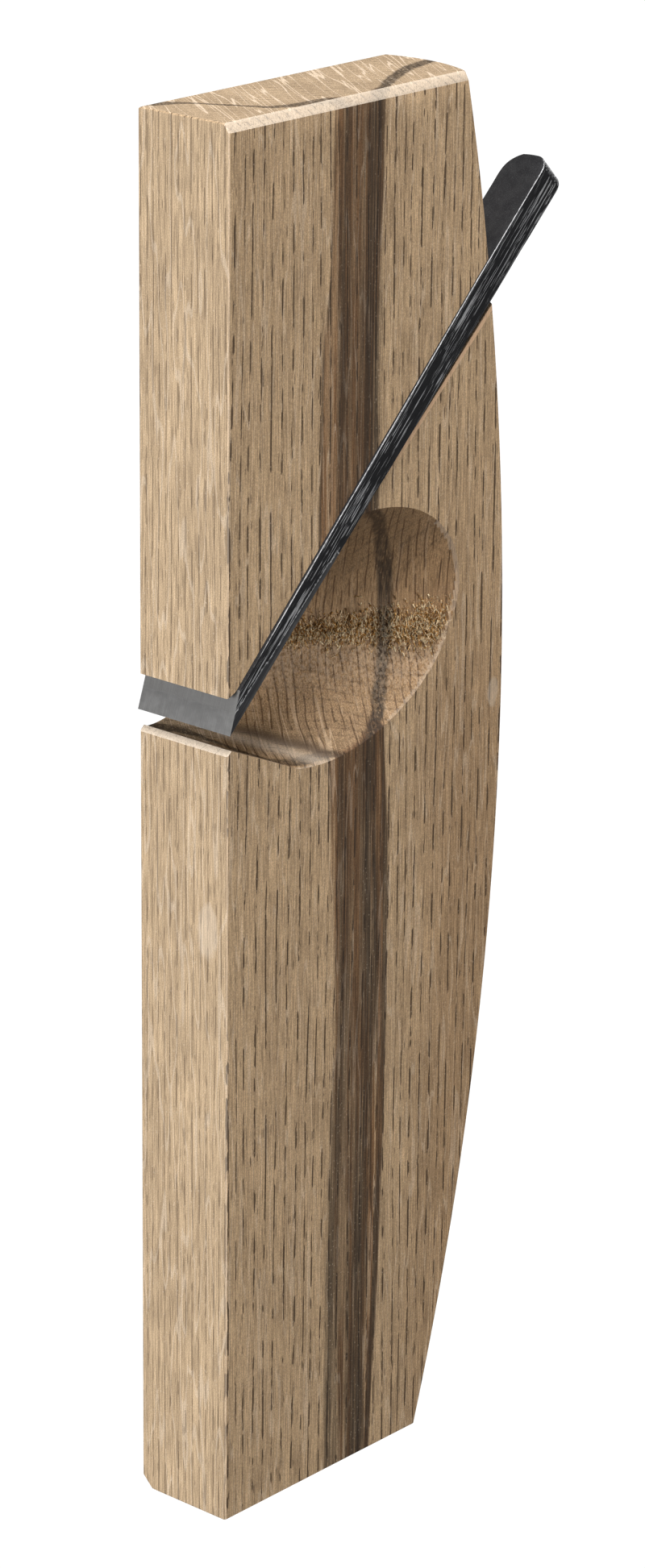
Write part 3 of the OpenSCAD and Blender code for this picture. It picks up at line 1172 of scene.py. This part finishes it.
@dataclass
class OakBody:
    """The one-piece oak body with its arched crown, groove, mouth and conical escapement."""

    bed: Bed
    cone: Cone
    length: float = 240.0
    width: float = 19.4
    crown: float = 71.7
    crown_r: float = 468.0
    crown_back: float = 15.0
    round_r: float = 23.0
    round_lean: float = 1.6
    heel_cut: Pair = (1.5, 1.0)
    toe_cut: float = 2.2
    arris: float = 0.35
    mouth_toe: float = -17.15
    wall_x: float = -18.0
    wall_z: float = 0.95
    wall_lean_deg: float = 24.0
    flare: float = 6.0
    bed_mouth: float = -27.0
    bed_tip: Pair = (-27.77, 1.85)
    throat: float = 3.0
    grip_at: float = 44.0
    wedge_gap: float = 0.03
    relief_deg: float = 1.2
    slot_up: float = 21.5
    shoulder: float = 9.0
    groove_y: float = -1.3
    iron_top: float = 114.3
    step_along: float = 2.0
    tool_mark: float = 0.05
    torn_proud: float = 0.26
    torn_rough: float = 0.38
    wall_near: float = 0.9
    wall_heights: Pair = (24.0, 74.0)
    wall_turns: Pair = (-20.0, 150.0)

    def crown_at(self, x: float, y: float) -> float:
        """Height of the crown over a place on the sole."""
        drop = self.round_r - math.sqrt(self.round_r**2 - (y - self.round_lean) ** 2)
        return self.crown - self.crown_r + math.sqrt((self.crown_r - drop) ** 2 - (x + self.crown_back) ** 2)

    def sides_at(self, x: float) -> Pair:
        """Where the open and the blind side stand at a place along the body."""
        half_l, half_w, e = self.length / 2, self.width / 2, self.arris
        run, cut = self.heel_cut
        open_y = -half_w + max(0.0, (-half_l + run - x) * cut / run, x - half_l + e)
        blind_y = half_w - max(0.0, -half_l + e - x, x - half_l + self.toe_cut)
        return open_y, blind_y

    def ring_at(self, x: float, inset: float) -> list[Triple]:
        """Outline of the blank across the body at one place along it.

        Args:
            x: Place along the body.
            inset: How far the outline draws in, for the rounding of the ends.

        Returns:
            The outline's points, in order.
        """
        e, turn = self.arris, 4
        y_open, y_blind = self.sides_at(x)
        y_open, y_blind = y_open + inset, y_blind - inset
        points: list[Pair] = []

        def corner(cy: float, cz: float, start: float) -> None:
            """Adds one rounded arris."""
            for k in range(turn + 1):
                a = math.radians(start + 90 * k / turn)
                points.append((cy + e * math.cos(a), cz + e * math.sin(a)))

        corner(y_open + e, e + inset, 180)
        points.extend((float(y), inset) for y in np.linspace(y_open + e, y_blind - e, 10)[1:-1])
        corner(y_blind - e, e + inset, 270)
        corner(y_blind - e, self.crown_at(x, y_blind - e) - e - inset, 0)
        for y in np.linspace(y_blind - e, y_open + e, 18)[1:-1]:
            points.append((float(y), self.crown_at(x, float(y)) - inset))
        corner(y_open + e, self.crown_at(x, y_open + e) - e - inset, 90)
        return [(x, y, z) for y, z in points]

    def blank(self) -> Piece:
        """Makes the body before its cuts.

        Returns:
            The solid blank.
        """
        half, e = self.length / 2, self.arris
        middle = list(np.arange(-half + 4, half - 3, self.step_along))
        heel = [(-half + e * (1 - math.cos(math.radians(a))), e * (1 - math.sin(math.radians(a))))
                for a in (0, 22.5, 45, 67.5, 90)]
        toe = [(-x, i) for x, i in reversed(heel)]
        stations = heel + [(-half + self.heel_cut[0], 0.0)] + [(float(x), 0.0) for x in middle]
        stations += [(half - self.toe_cut, 0.0)] + toe
        return loft("oak_body", np.array([self.ring_at(x, inset) for x, inset in stations]))

    def groove(self) -> Piece:
        """Makes the space of the groove that holds the tang."""
        top, grip = self.iron_top, self.grip_at
        relief = math.tan(math.radians(self.relief_deg))
        gap_top = self.bed.front(top) + self.wedge_gap + (top - grip) * relief
        half = self.width / 2
        side = self.bed.side_slab(
            "groove_side",
            [(-1, 0), (-1, self.bed.front(0) + 1), (grip, self.bed.front(grip) + self.wedge_gap),
             (top, gap_top), (top, 0)],
            -half - 1, half + 1)
        face = self.bed.face_slab(
            "groove_face",
            [(-1, -half - 1), (-1, half + 1), (self.slot_up, half + 1), (self.slot_up, half),
             (self.slot_up + self.shoulder, self.groove_y), (top, self.groove_y), (top, -half - 1)],
            -1, self.bed.front(top) + 4)
        carve(side, face, Cut.KEEP)
        return side

    def mouth(self) -> Piece:
        """Makes the space of the mouth and the throat, right across the sole."""
        tip_x, tip_z = self.bed_tip
        half = self.width / 2 + 1
        return across(
            "mouth",
            [(self.bed_mouth, -1), (self.bed_mouth, 0), (tip_x, tip_z), (tip_x, self.throat),
             (self.wall_x, self.throat), (self.wall_x, self.wall_z), (self.mouth_toe, 0),
             (self.mouth_toe, -1)], -half, half)

    def flare_space(self) -> Piece:
        """Makes the flare that runs the mouth's toe side into the escapement, on the open side."""
        lean = math.tan(math.radians(self.wall_lean_deg))
        return across(
            "flare",
            [(-self.bed.edge_back, -self.bed.edge_below), (-self.bed.edge_back - self.flare, self.flare),
             (self.wall_x + (self.flare - self.wall_z) * lean, self.flare), (self.wall_x, self.wall_z),
             (self.wall_x, -1)], -self.width / 2 - 1, 0.0)

    def escapement(self) -> Piece:
        """Makes the space of the escapement, with the marks of its tools in its wall.

        Returns:
            The cone, cut off at the front of the iron and at the toe wall.
        """
        heights = list(np.linspace(8, 24, 6)[:-1]) + list(np.arange(24, 72, 0.42)) + [74.0, self.cone.reach]
        turns = list(np.arange(-18, 150, 0.95)) + list(np.linspace(150, 342, 40)[1:-1])
        rows = []
        for h in heights:
            ring = []
            for t in turns:
                p = self.cone.place(h, t)
                torn = self.cone.tear(h, t)
                proud = self.tool_mark * wander(p, 3.5, 1.7)
                if torn > 0.02:
                    rag = wander(p, 0.9, 5.1) + 0.6 * wander(p, 0.45, 8.3)
                    proud += torn * (self.torn_proud + self.torn_rough * rag)
                ring.append(self.cone.place(h, t, proud))
            rows.append(ring)
        cutter = loft("escapement", np.array(rows))
        top = self.iron_top - 2
        foot = self.bed.place(0, 0, self.bed.front(0))
        head = self.bed.place(top, 0, self.bed.front(top))
        lean = (head[2] - self.wall_z) * math.tan(math.radians(self.wall_lean_deg))
        half = self.width / 2 + 1
        bounds = across(
            "escapement_bounds",
            [(foot[0], foot[2]), (head[0], head[2]), (self.wall_x + lean, head[2]),
             (self.wall_x, self.wall_z), (self.wall_x, -2)], -half, half)
        carve(cutter, bounds, Cut.KEEP)
        return cutter

    def fresh(self, centre: Vector, normal: Vector) -> float:
        """How pale and freshly cut a face is, from 0 to 1.

        Args:
            centre: Middle of the face.
            normal: Way that it faces.

        Returns:
            The value: high on the chamfers, low on the long arrises.
        """
        half = self.length / 2
        near_mouth = centre.z < self.wall_z and abs(centre.x - self.mouth_toe) < 1.2
        on_side = abs(centre.y) > self.width / 2 - self.arris
        if centre.x < -half + self.heel_cut[0] and normal.y < -0.4 and normal.x < -0.2:
            return 0.75
        if near_mouth and normal.z < -0.4 and normal.x < -0.4:
            return 1.0
        if centre.x > half - self.toe_cut and normal.y > 0.4 and normal.x > 0.4:
            return 0.6
        if on_side and abs(normal.y) > 0.3 and abs(normal.z) > 0.3:
            return 0.25
        return 0.0

    def wall_at(self, point: Vector) -> tuple[float, float, float, float]:
        """How torn, woolly, hollowed and pale the escapement's wall is at a point, with its painted shade
        and painted light.

        Args:
            point: The point.

        Returns:
            The four values, each 0 away from the wall; the hollow value runs from 0.5 to 1 with painted
            shade, and the pale value holds painted light on the lip.
        """
        height, turn, off = self.cone.read(point)
        inside = self.wall_heights[0] < height < self.wall_heights[1]
        if not (abs(off) < self.wall_near and inside and self.wall_turns[0] < turn < self.wall_turns[1]):
            return 0.0, 0.0, 0.0, 0.0
        face_y = -self.width / 2
        # Painted shade: the wall behind the heel side of the escapement, and the toe wall's inner corner,
        # raise the hollow paint from 0.5 toward 1.
        shade_behind_heel_wall = 0.55 * min(1.0, max(0.0, (turn - 88) / 30))
        shade = 0.5 + 0.5 * max(self.cone.corner_shade(height, turn, face_y), shade_behind_heel_wall)
        return (self.cone.tear(height, turn), self.cone.wool(height, turn), shade,
                self.cone.lip_light_and_wear(height, turn, face_y))

    def mark(self, obj: Piece) -> None:
        """Paints where the wood is torn, woolly, pale or hollowed, with painted light on the toe wall's lip
        and painted shade in the escapement.

        Args:
            obj: The cut body.
        """
        mesh = obj.data
        marks = mesh.color_attributes.new("marks", "FLOAT_COLOR", "CORNER")
        values = np.zeros((len(mesh.loops), len(Band)), dtype=np.float32)
        read: dict[int, tuple[float, float, float, float]] = {}
        for face in mesh.polygons:
            across_way = abs(face.normal.y)
            fresh = self.fresh(face.center / MM, face.normal)
            for corner in face.loop_indices:
                index = mesh.loops[corner].vertex_index
                if index not in read:
                    read[index] = self.wall_at(mesh.vertices[index].co / MM)
                torn, wool, hollow, lip_light_and_wear = read[index]
                inside = hollow if across_way < 0.985 else 0.0
                values[corner, Band.TORN.value] = torn * inside
                # Pale paint: fresh chamfers, the broken arris, and painted light on the toe wall's lip.
                values[corner, Band.FRESH.value] = max(fresh, lip_light_and_wear if inside else 0.0)
                # Hollow paint: inside the escapement, and above 0.5 its painted shade.
                values[corner, Band.HOLLOW.value] = inside
                values[corner, Band.WOOLLY.value] = wool * inside
        marks.data.foreach_set("color", values.ravel())

    def build(self, finish: Material) -> Piece:
        """Makes the body, cuts it and dresses it.

        Args:
            finish: The oak's material.

        Returns:
            The body piece.
        """
        body = self.blank()
        for space in (self.groove(), self.mouth(), self.flare_space(), self.escapement()):
            carve(body, space, Cut.REMOVE)
        self.mark(body)
        finish_shading(body, 30.0)
        body.data.materials.clear()
        body.data.materials.append(finish)
        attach(body, "stock")
        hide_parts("body")
        LOG.info("%s: %d faces", body.name, len(body.data.polygons))
        return body


@dataclass
class TornFibres:
    """Loose fibre ends that stand up along the torn band of the escapement."""

    cone: Cone
    count: int = 1700
    seed: int = 11
    width: float = 0.19
    shortest: float = 0.35
    longest: float = 1.6
    lowest: float = 36.0
    highest: float = 66.0
    open_face: float = -9.7
    proud: float = 0.2
    before_deg: float = 14.0
    beyond_deg: float = 16.0
    curl: float = 0.45
    steps: int = 4

    def build(self, finish: Material) -> Piece:
        """Makes the fibres as one mesh of curled slivers.

        Args:
            finish: The fibre's material.

        Returns:
            The fibre piece.
        """
        draw = np.random.default_rng(self.seed)
        _, first, second = self.cone.axes
        points: list[Vector] = []
        faces: list[tuple[int, ...]] = []
        made = 0
        while made < self.count:
            h = draw.uniform(self.lowest, self.highest)
            first_deg = self.cone.torn_from_deg - self.before_deg
            t = draw.uniform(first_deg, self.cone.torn_to_deg + self.beyond_deg)
            torn = self.cone.tear(h, t)
            if draw.uniform() > torn**1.2 * (0.45 + 0.55 * (h - self.lowest) / 30):
                continue
            root = self.cone.place(h, t, 0.05 + 0.3 * torn)
            if root.y < self.open_face + 0.5:
                continue
            rad = math.radians(t)
            inward = -(first * math.cos(rad) + second * math.sin(rad))
            along = Vector((1 if draw.uniform() < 0.7 else -1, 0, 0))
            along = (along + inward * draw.uniform(0.2, 1.0) + Vector(draw.normal(0, 0.35, 3))).normalized()
            bend = (inward + Vector(draw.normal(0, 0.8, 3))).normalized()
            side = along.cross(bend).normalized() * self.width * draw.uniform(0.5, 1.2)
            length = draw.uniform(self.shortest, self.longest)
            if (root + (along + bend * self.curl) * length).y < self.open_face - self.proud:
                continue
            start = len(points)
            for k in range(self.steps + 1):
                f = k / self.steps
                middle = root + along * (length * f) + bend * (length * self.curl * f * f)
                w = side * (1 - 0.75 * f)
                thick = bend.cross(side).normalized() * self.width * 0.3 * (1 - 0.7 * f)
                points.extend((middle - w, middle + w, middle + thick))
            for k in range(self.steps):
                a, b = start + 3 * k, start + 3 * (k + 1)
                faces.extend(((a, a + 1, b + 1, b), (a + 1, a + 2, b + 2, b + 1), (a + 2, a, b, b + 2)))
            faces.append((start, start + 2, start + 1))
            tip = start + 3 * self.steps
            faces.append((tip, tip + 1, tip + 2))
            made += 1
        obj = make_object("torn_fibres", np.array([tuple(p) for p in points]), faces)
        obj.data.polygons.foreach_set("use_smooth", [True] * len(obj.data.polygons))
        obj.data.materials.append(finish)
        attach(obj, "stock")
        LOG.info("%s: %d slivers", obj.name, made)
        return obj


# ---- The forged iron ----


@dataclass
class ForgedIron:
    """The tanged iron: soft forged backing with hard steel welded along its front face."""

    bed: Bed
    length: float = 113.3
    bevel_deg: float = 27.0
    open_edge: float = -10.4
    open_head: float = -9.9
    blind_edge: float = 9.95
    tang_y: float = -1.6
    blade_len: float = 13.0
    shoulder: float = 9.0
    head_r_blind: float = 4.5
    head_r_open: float = 3.0
    head_break: float = 0.4
    head_thinning: float = 0.4
    thinning_from: float = 88.0
    clear: float = 0.02
    steel_t: float = 1.9
    steel_end_t: float = 0.9
    steel_len: float = 36.0
    hollow_depth: float = 0.3
    hollow_r: float = 6.5
    hollow_up: float = 17.0
    arris: float = 0.2
    hammered_from: float = 24.0
    hammered_run: float = 20.0
    dent: float = 0.09
    wear_on_flat: float = 0.15

    @property
    def bevel_run(self) -> float:
        """Length of the bevel's shadow on the bed."""
        return self.bed.iron_t / math.tan(math.radians(self.bevel_deg))

    def sides_at(self, up: float) -> Pair:
        """Where the iron's two edges stand across the width, at a distance up it."""
        open_y = self.open_edge + (self.open_head - self.open_edge) * up / (self.length - self.head_r_open)
        if up > self.length - self.head_r_open:
            d = up - (self.length - self.head_r_open)
            open_y = self.open_head + self.head_r_open - math.sqrt(max(0.0, self.head_r_open**2 - d * d))
        if up <= self.blade_len:
            blind_y = self.blind_edge
        elif up <= self.blade_len + self.shoulder:
            f = (up - self.blade_len) / self.shoulder
            blind_y = self.blind_edge + f * (self.tang_y - self.blind_edge)
        else:
            blind_y = self.tang_y
        if up > self.length - self.head_r_blind:
            d = up - (self.length - self.head_r_blind)
            blind_y = self.tang_y - self.head_r_blind + math.sqrt(max(0.0, self.head_r_blind**2 - d * d))
        return open_y, blind_y

    def faces_at(self, up: float) -> Pair:
        """Height of the iron's back and front off the bed, at a distance up it."""
        low = max(self.clear, self.bed.iron_t - up * math.tan(math.radians(self.bevel_deg)))
        end = self.length - self.head_break
        if up > self.thinning_from:
            run = end - self.thinning_from
            low = self.clear + (self.head_thinning - self.clear) * (up - self.thinning_from) / run
        high = self.bed.front(up) if up <= end else self.bed.front(self.length)
        if up > end:
            low += up - end
            high -= up - end
        return low, high

    def ring_at(self, up: float) -> tuple[list[Triple], list[Pair]]:
        """Outline of the iron across its length at one place.

        Args:
            up: Distance from the cutting edge.

        Returns:
            The outline's points, and for each how worn an arris and how much of a side it is.
        """
        y0, y1 = self.sides_at(up)
        z0, z1 = self.faces_at(up)
        thick, wide = z1 - z0, y1 - y0
        ease = min(1.0, max(0.08, (up - 5.0) / 14.0))
        e = min(self.arris * ease, 0.3 * thick, 0.3 * wide)
        turn = 3
        flat: list[tuple[float, float, float, float]] = []

        def corner(cy: float, cz: float, start: float, worn: float) -> None:
            """Adds one worn arris."""
            for k in range(turn + 1):
                a = math.radians(start + 90 * k / turn)
                inner = 1.0 if 0 < k < turn else self.wear_on_flat
                flat.append((cy + e * math.cos(a), cz + e * math.sin(a), worn * inner, 0.6))

        corner(y0 + e, z0 + e, 180, 1.0)
        flat.extend((float(y), z0, 0.0, 0.0) for y in np.linspace(y0 + e, y1 - e, 11)[1:-1])
        corner(y1 - e, z0 + e, 270, 0.6)
        flat.extend((y1, float(z), 0.0, 0.6) for z in np.linspace(z0 + e, z1 - e, 4)[1:-1])
        corner(y1 - e, z1 - e, 0, 0.6)
        flat.extend((float(y), z1, 0.0, 0.0) for y in np.linspace(y1 - e, y0 + e, 11)[1:-1])
        corner(y0 + e, z1 - e, 90, 0.75)
        flat.extend((y0, float(z), 0.0, 1.0) for z in np.linspace(z1 - e, z0 + e, 6)[1:-1])
        points = []
        hammered = min(1.0, max(0.0, (up - self.hammered_from) / self.hammered_run))
        for y, z, _, _ in flat:
            p = Vector(self.bed.place(up, y, z))
            dent = hammered * self.dent * max(0.0, wander(p, 6.0, 3.3) + 0.35 * wander(p, 2.2, 7.7))
            mid_y, mid_z = 0.5 * (y0 + y1), 0.5 * (z0 + z1)
            y += dent * math.copysign(1, mid_y - y) * (1.0 if abs(y - mid_y) > wide / 2 - e - 0.01 else 0.0)
            z += dent * math.copysign(1, mid_z - z) * (1.0 if abs(z - mid_z) > thick / 2 - e - 0.01 else 0.0)
            points.append(self.bed.place(up, y, z))
        return points, [(worn * ease, side) for _, _, worn, side in flat]

    def whole(self) -> Piece:
        """Makes the iron in one piece, with its wear painted on.

        Returns:
            The solid iron.
        """
        run, top = self.bevel_run, self.length
        ups = list(np.linspace(0.03, run, 9)) + list(np.arange(run + 0.8, top - 6, 0.8))
        ups += [top - 6 + 6 * math.sin(math.radians(a)) for a in np.linspace(0, 86, 16)]
        ups += [top - self.head_break, top]
        ups = sorted(set(round(float(u), 4) for u in ups))
        rings, marks = zip(*(self.ring_at(u) for u in ups))
        iron = loft("iron_backing", np.array(rings))
        paint = iron.data.color_attributes.new("marks", "FLOAT_COLOR", "POINT")
        values = np.zeros((len(iron.data.vertices), 4), dtype=np.float32)
        flat = np.array(marks).reshape(-1, 2)
        values[:, 0], values[:, 1], values[:, 3] = flat[:, 0], flat[:, 1], 1.0
        paint.data.foreach_set("color", values.ravel())
        return iron

    def steel_space(self) -> Piece:
        """Makes the space that the hard steel takes up along the front face."""
        t, end = self.bed.iron_t - self.steel_t, self.steel_len
        front = self.bed.front(end)
        return self.bed.side_slab(
            "steel_space",
            [(-1, t), (-1, self.bed.iron_t + 1), (end, front + 1), (end, front - self.steel_end_t), (0, t)],
            -12.0, 12.0)

    def wheel(self) -> Piece:
        """Makes the cap of the wheel that ground the hollow in the front face."""
        radius = (self.hollow_r**2 + self.hollow_depth**2) / (2 * self.hollow_depth)
        taper = math.radians(self.bed.taper_deg)
        rise = radius - self.hollow_depth
        up = self.hollow_up * math.cos(taper) - rise * math.sin(taper)
        lift = self.bed.iron_t + self.hollow_up * math.sin(taper) + rise * math.cos(taper)
        rings = []
        for a in np.linspace(0.4, 8.5, 18):
            r, drop = radius * math.sin(math.radians(a)), radius * math.cos(math.radians(a))
            rings.append([self.bed.place(up + r * math.cos(t), r * math.sin(t), lift - drop)
                          for t in np.linspace(0, 2 * math.pi, 64, endpoint=False)])
        return loft("wheel", np.array(rings))

    def dress(self, obj: Piece, finish: Material, node: str) -> None:
        """Marks the ground faces, smooths the shading and puts a piece on its body.

        Args:
            obj: The piece.
            finish: Its material.
            node: The node that it stands for.
        """
        mesh = obj.data
        a = math.radians(self.bed.angle_deg)
        tip = a - math.radians(self.bevel_deg)
        bevel = Vector((-math.sin(tip), 0, -math.cos(tip)))
        old = mesh.color_attributes["marks"]
        point = np.zeros(len(mesh.vertices) * 4, dtype=np.float32)
        old.data.foreach_get("color", point)
        point = point.reshape(-1, 4)
        values = np.zeros((len(mesh.loops), 4), dtype=np.float32)
        for face in mesh.polygons:
            ground = 1.0 if face.normal.dot(bevel) > 0.97 and face.center.z < 0.012 else 0.0
            for corner in face.loop_indices:
                arris, side = point[mesh.loops[corner].vertex_index][:2]
                flat_side = side if abs(face.normal.y) > 0.35 else 0.0
                values[corner] = (arris * (1.0 - ground), flat_side, ground, 1.0)
        mesh.color_attributes.remove(old)
        fresh = mesh.color_attributes.new("marks", "FLOAT_COLOR", "CORNER")
        fresh.data.foreach_set("color", values.ravel())
        finish_shading(obj, 22.0)
        mesh.materials.clear()
        mesh.materials.append(finish)
        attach(obj, "iron")
        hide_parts(node)
        LOG.info("%s: %d faces", obj.name, len(mesh.polygons))

    def build(self, scale: Material, steel: Material) -> list[Piece]:
        """Makes the backing and the steel and dresses both.

        Args:
            scale: Material of the backing.
            steel: Material of the hard steel.

        Returns:
            The two pieces.
        """
        backing = self.whole()
        edge = backing.copy()
        edge.data = backing.data.copy()
        edge.name = edge.data.name = "hard_steel"
        bpy.context.scene.collection.objects.link(edge)
        backing.name = backing.data.name = "forged_backing"
        space = self.steel_space()
        carve(edge, space, Cut.KEEP, keep_tool=True)
        carve(backing, space, Cut.REMOVE)
        carve(edge, self.wheel(), Cut.REMOVE)
        self.dress(backing, scale, "iron_backing")
        self.dress(edge, steel, "edge_steel")
        return [backing, edge]


# ---- Studio ----


@dataclass(frozen=True)
class Softbox:
    """A square studio light that faces the object."""

    name: str
    toward: Triple
    distance: float
    size: float
    power: float

    def build(self) -> Piece:
        """Makes the light."""
        lamp = bpy.data.lights.new(self.name, "AREA")
        lamp.shape, lamp.size, lamp.energy = "SQUARE", self.size, self.power
        obj = bpy.data.objects.new(self.name, lamp)
        way = Vector(self.toward).normalized()
        obj.location = Vector((0, 0, 0.035)) + way * self.distance
        obj.rotation_mode = "QUATERNION"
        obj.rotation_quaternion = way.to_track_quat("Z", "Y")
        bpy.context.scene.collection.objects.link(obj)
        return obj


@dataclass
class Studio:
    """Pale floor, white surround, softboxes and the camera."""

    eye: Triple = (-277.64, -515.12, -548.64)
    ahead: Triple = (0.3346, 0.6242, 0.7060)
    up: Triple = (-0.9423, 0.2287, 0.2445)
    lens: float = 113.2
    sensor: float = 36.0
    floor_gap: float = 0.05
    floor_half: float = 700.0
    ambient: float = 0.10
    white: float = 1.05
    pale: tuple[float, float, float, float] = (0.80, 0.79, 0.78, 1.0)
    clip: Pair = (0.01, 20.0)
    softboxes: tuple[Softbox, ...] = (
        Softbox("heel softbox", (-1.0, -0.16, -0.10), 1.1, 0.5, 14.2),
        Softbox("sole softbox", (0.0, 0.05, -1.0), 1.1, 0.5, 13.0),
        Softbox("open side softbox", (-0.1, -1.0, 0.0), 1.1, 0.5, 5.4),
        Softbox("top softbox", (0.25, 0.45, 0.85), 1.2, 0.9, 20.0),
        Softbox("toe softbox", (1.0, 0.5, 0.35), 1.2, 0.7, 8.0),
    )

    def camera(self) -> None:
        """Makes the camera and gives it to the scene."""
        data = bpy.data.cameras.new("camera")
        data.lens, data.sensor_width, data.sensor_fit = self.lens, self.sensor, "AUTO"
        data.clip_start, data.clip_end = self.clip
        obj = bpy.data.objects.new("camera", data)
        back = -Vector(self.ahead).normalized()
        right = Vector(self.up).cross(back).normalized()
        upward = back.cross(right)
        turn = Matrix((right, upward, back)).transposed()
        obj.matrix_world = Matrix.Translation(Vector(self.eye) * MM) @ turn.to_4x4()
        bpy.context.scene.collection.objects.link(obj)
        bpy.context.scene.camera = obj

    def floor(self) -> None:
        """Makes a pale floor under the object that is clear when seen from below."""
        low = CAD_BOX[0].z / MM - self.floor_gap
        h = self.floor_half
        mesh = bpy.data.meshes.new("floor")
        mesh.from_pydata([(-h * MM, -h * MM, low * MM), (h * MM, -h * MM, low * MM),
                          (h * MM, h * MM, low * MM), (-h * MM, h * MM, low * MM)], [], [(0, 1, 2, 3)])
        obj = bpy.data.objects.new("floor", mesh)
        bpy.context.scene.collection.objects.link(obj)
        obj.visible_diffuse = obj.visible_glossy = obj.visible_shadow = False
        material = bpy.data.materials.new("floor")
        material.use_nodes = True
        g = Graph(material.node_tree)
        shader = next(n for n in material.node_tree.nodes if n.type == "BSDF_PRINCIPLED")
        shader.inputs["Base Color"].default_value = self.pale
        shader.inputs["Roughness"].default_value = 0.9
        clear = g.add("ShaderNodeBsdfTransparent")
        both = g.add("ShaderNodeMixShader")
        g.feed(both.inputs[0], g.add("ShaderNodeNewGeometry").outputs["Backfacing"])
        g.feed(both.inputs[1], shader.outputs[0])
        g.feed(both.inputs[2], clear.outputs[0])
        end = next(n for n in material.node_tree.nodes if n.type == "OUTPUT_MATERIAL")
        g.feed(end.inputs["Surface"], both.outputs[0])
        mesh.materials.append(material)

    def surround(self) -> None:
        """Makes the world: white to the camera, soft ambient light to the object."""
        world = bpy.data.worlds.new("surround")
        bpy.context.scene.world = world
        world.use_nodes = True
        g = Graph(world.node_tree)
        ambient = next(n for n in world.node_tree.nodes if n.type == "BACKGROUND")
        white = g.add("ShaderNodeBackground")
        for node, strength in ((ambient, self.ambient), (white, self.white)):
            node.inputs["Color"].default_value = (1.0, 1.0, 1.0, 1.0)
            node.inputs["Strength"].default_value = strength
        both = g.add("ShaderNodeMixShader")
        g.feed(both.inputs[0], g.add("ShaderNodeLightPath").outputs["Is Camera Ray"])
        g.feed(both.inputs[1], ambient.outputs[0])
        g.feed(both.inputs[2], white.outputs[0])
        end = next(n for n in world.node_tree.nodes if n.type == "OUTPUT_WORLD")
        g.feed(end.inputs["Surface"], both.outputs[0])

    def build(self) -> None:
        """Sets up the whole studio."""
        bpy.context.scene.view_settings.view_transform = "Standard"
        self.camera()
        self.floor()
        self.surround()
        for box in self.softboxes:
            box.build()
        LOG.info("studio: %d softboxes", len(self.softboxes))


def main() -> None:
    """Builds the plane and its studio."""
    logging.basicConfig(level=logging.INFO, format="%(name)s %(message)s")
    bed, cone = Bed(), Cone()
    Studio().build()
    figure, mottle, wear = OakFigure().build(), build_mottle(), build_arris_wear()
    OakBody(bed, cone).build(OakFinish().build(figure, mottle))
    TornFibres(cone).build(FibreFinish().build(figure, mottle))
    ForgedIron(bed).build(ScaleFinish().build(wear, mottle), SteelFinish().build(wear, mottle))


if __name__ == "__main__":
    main()
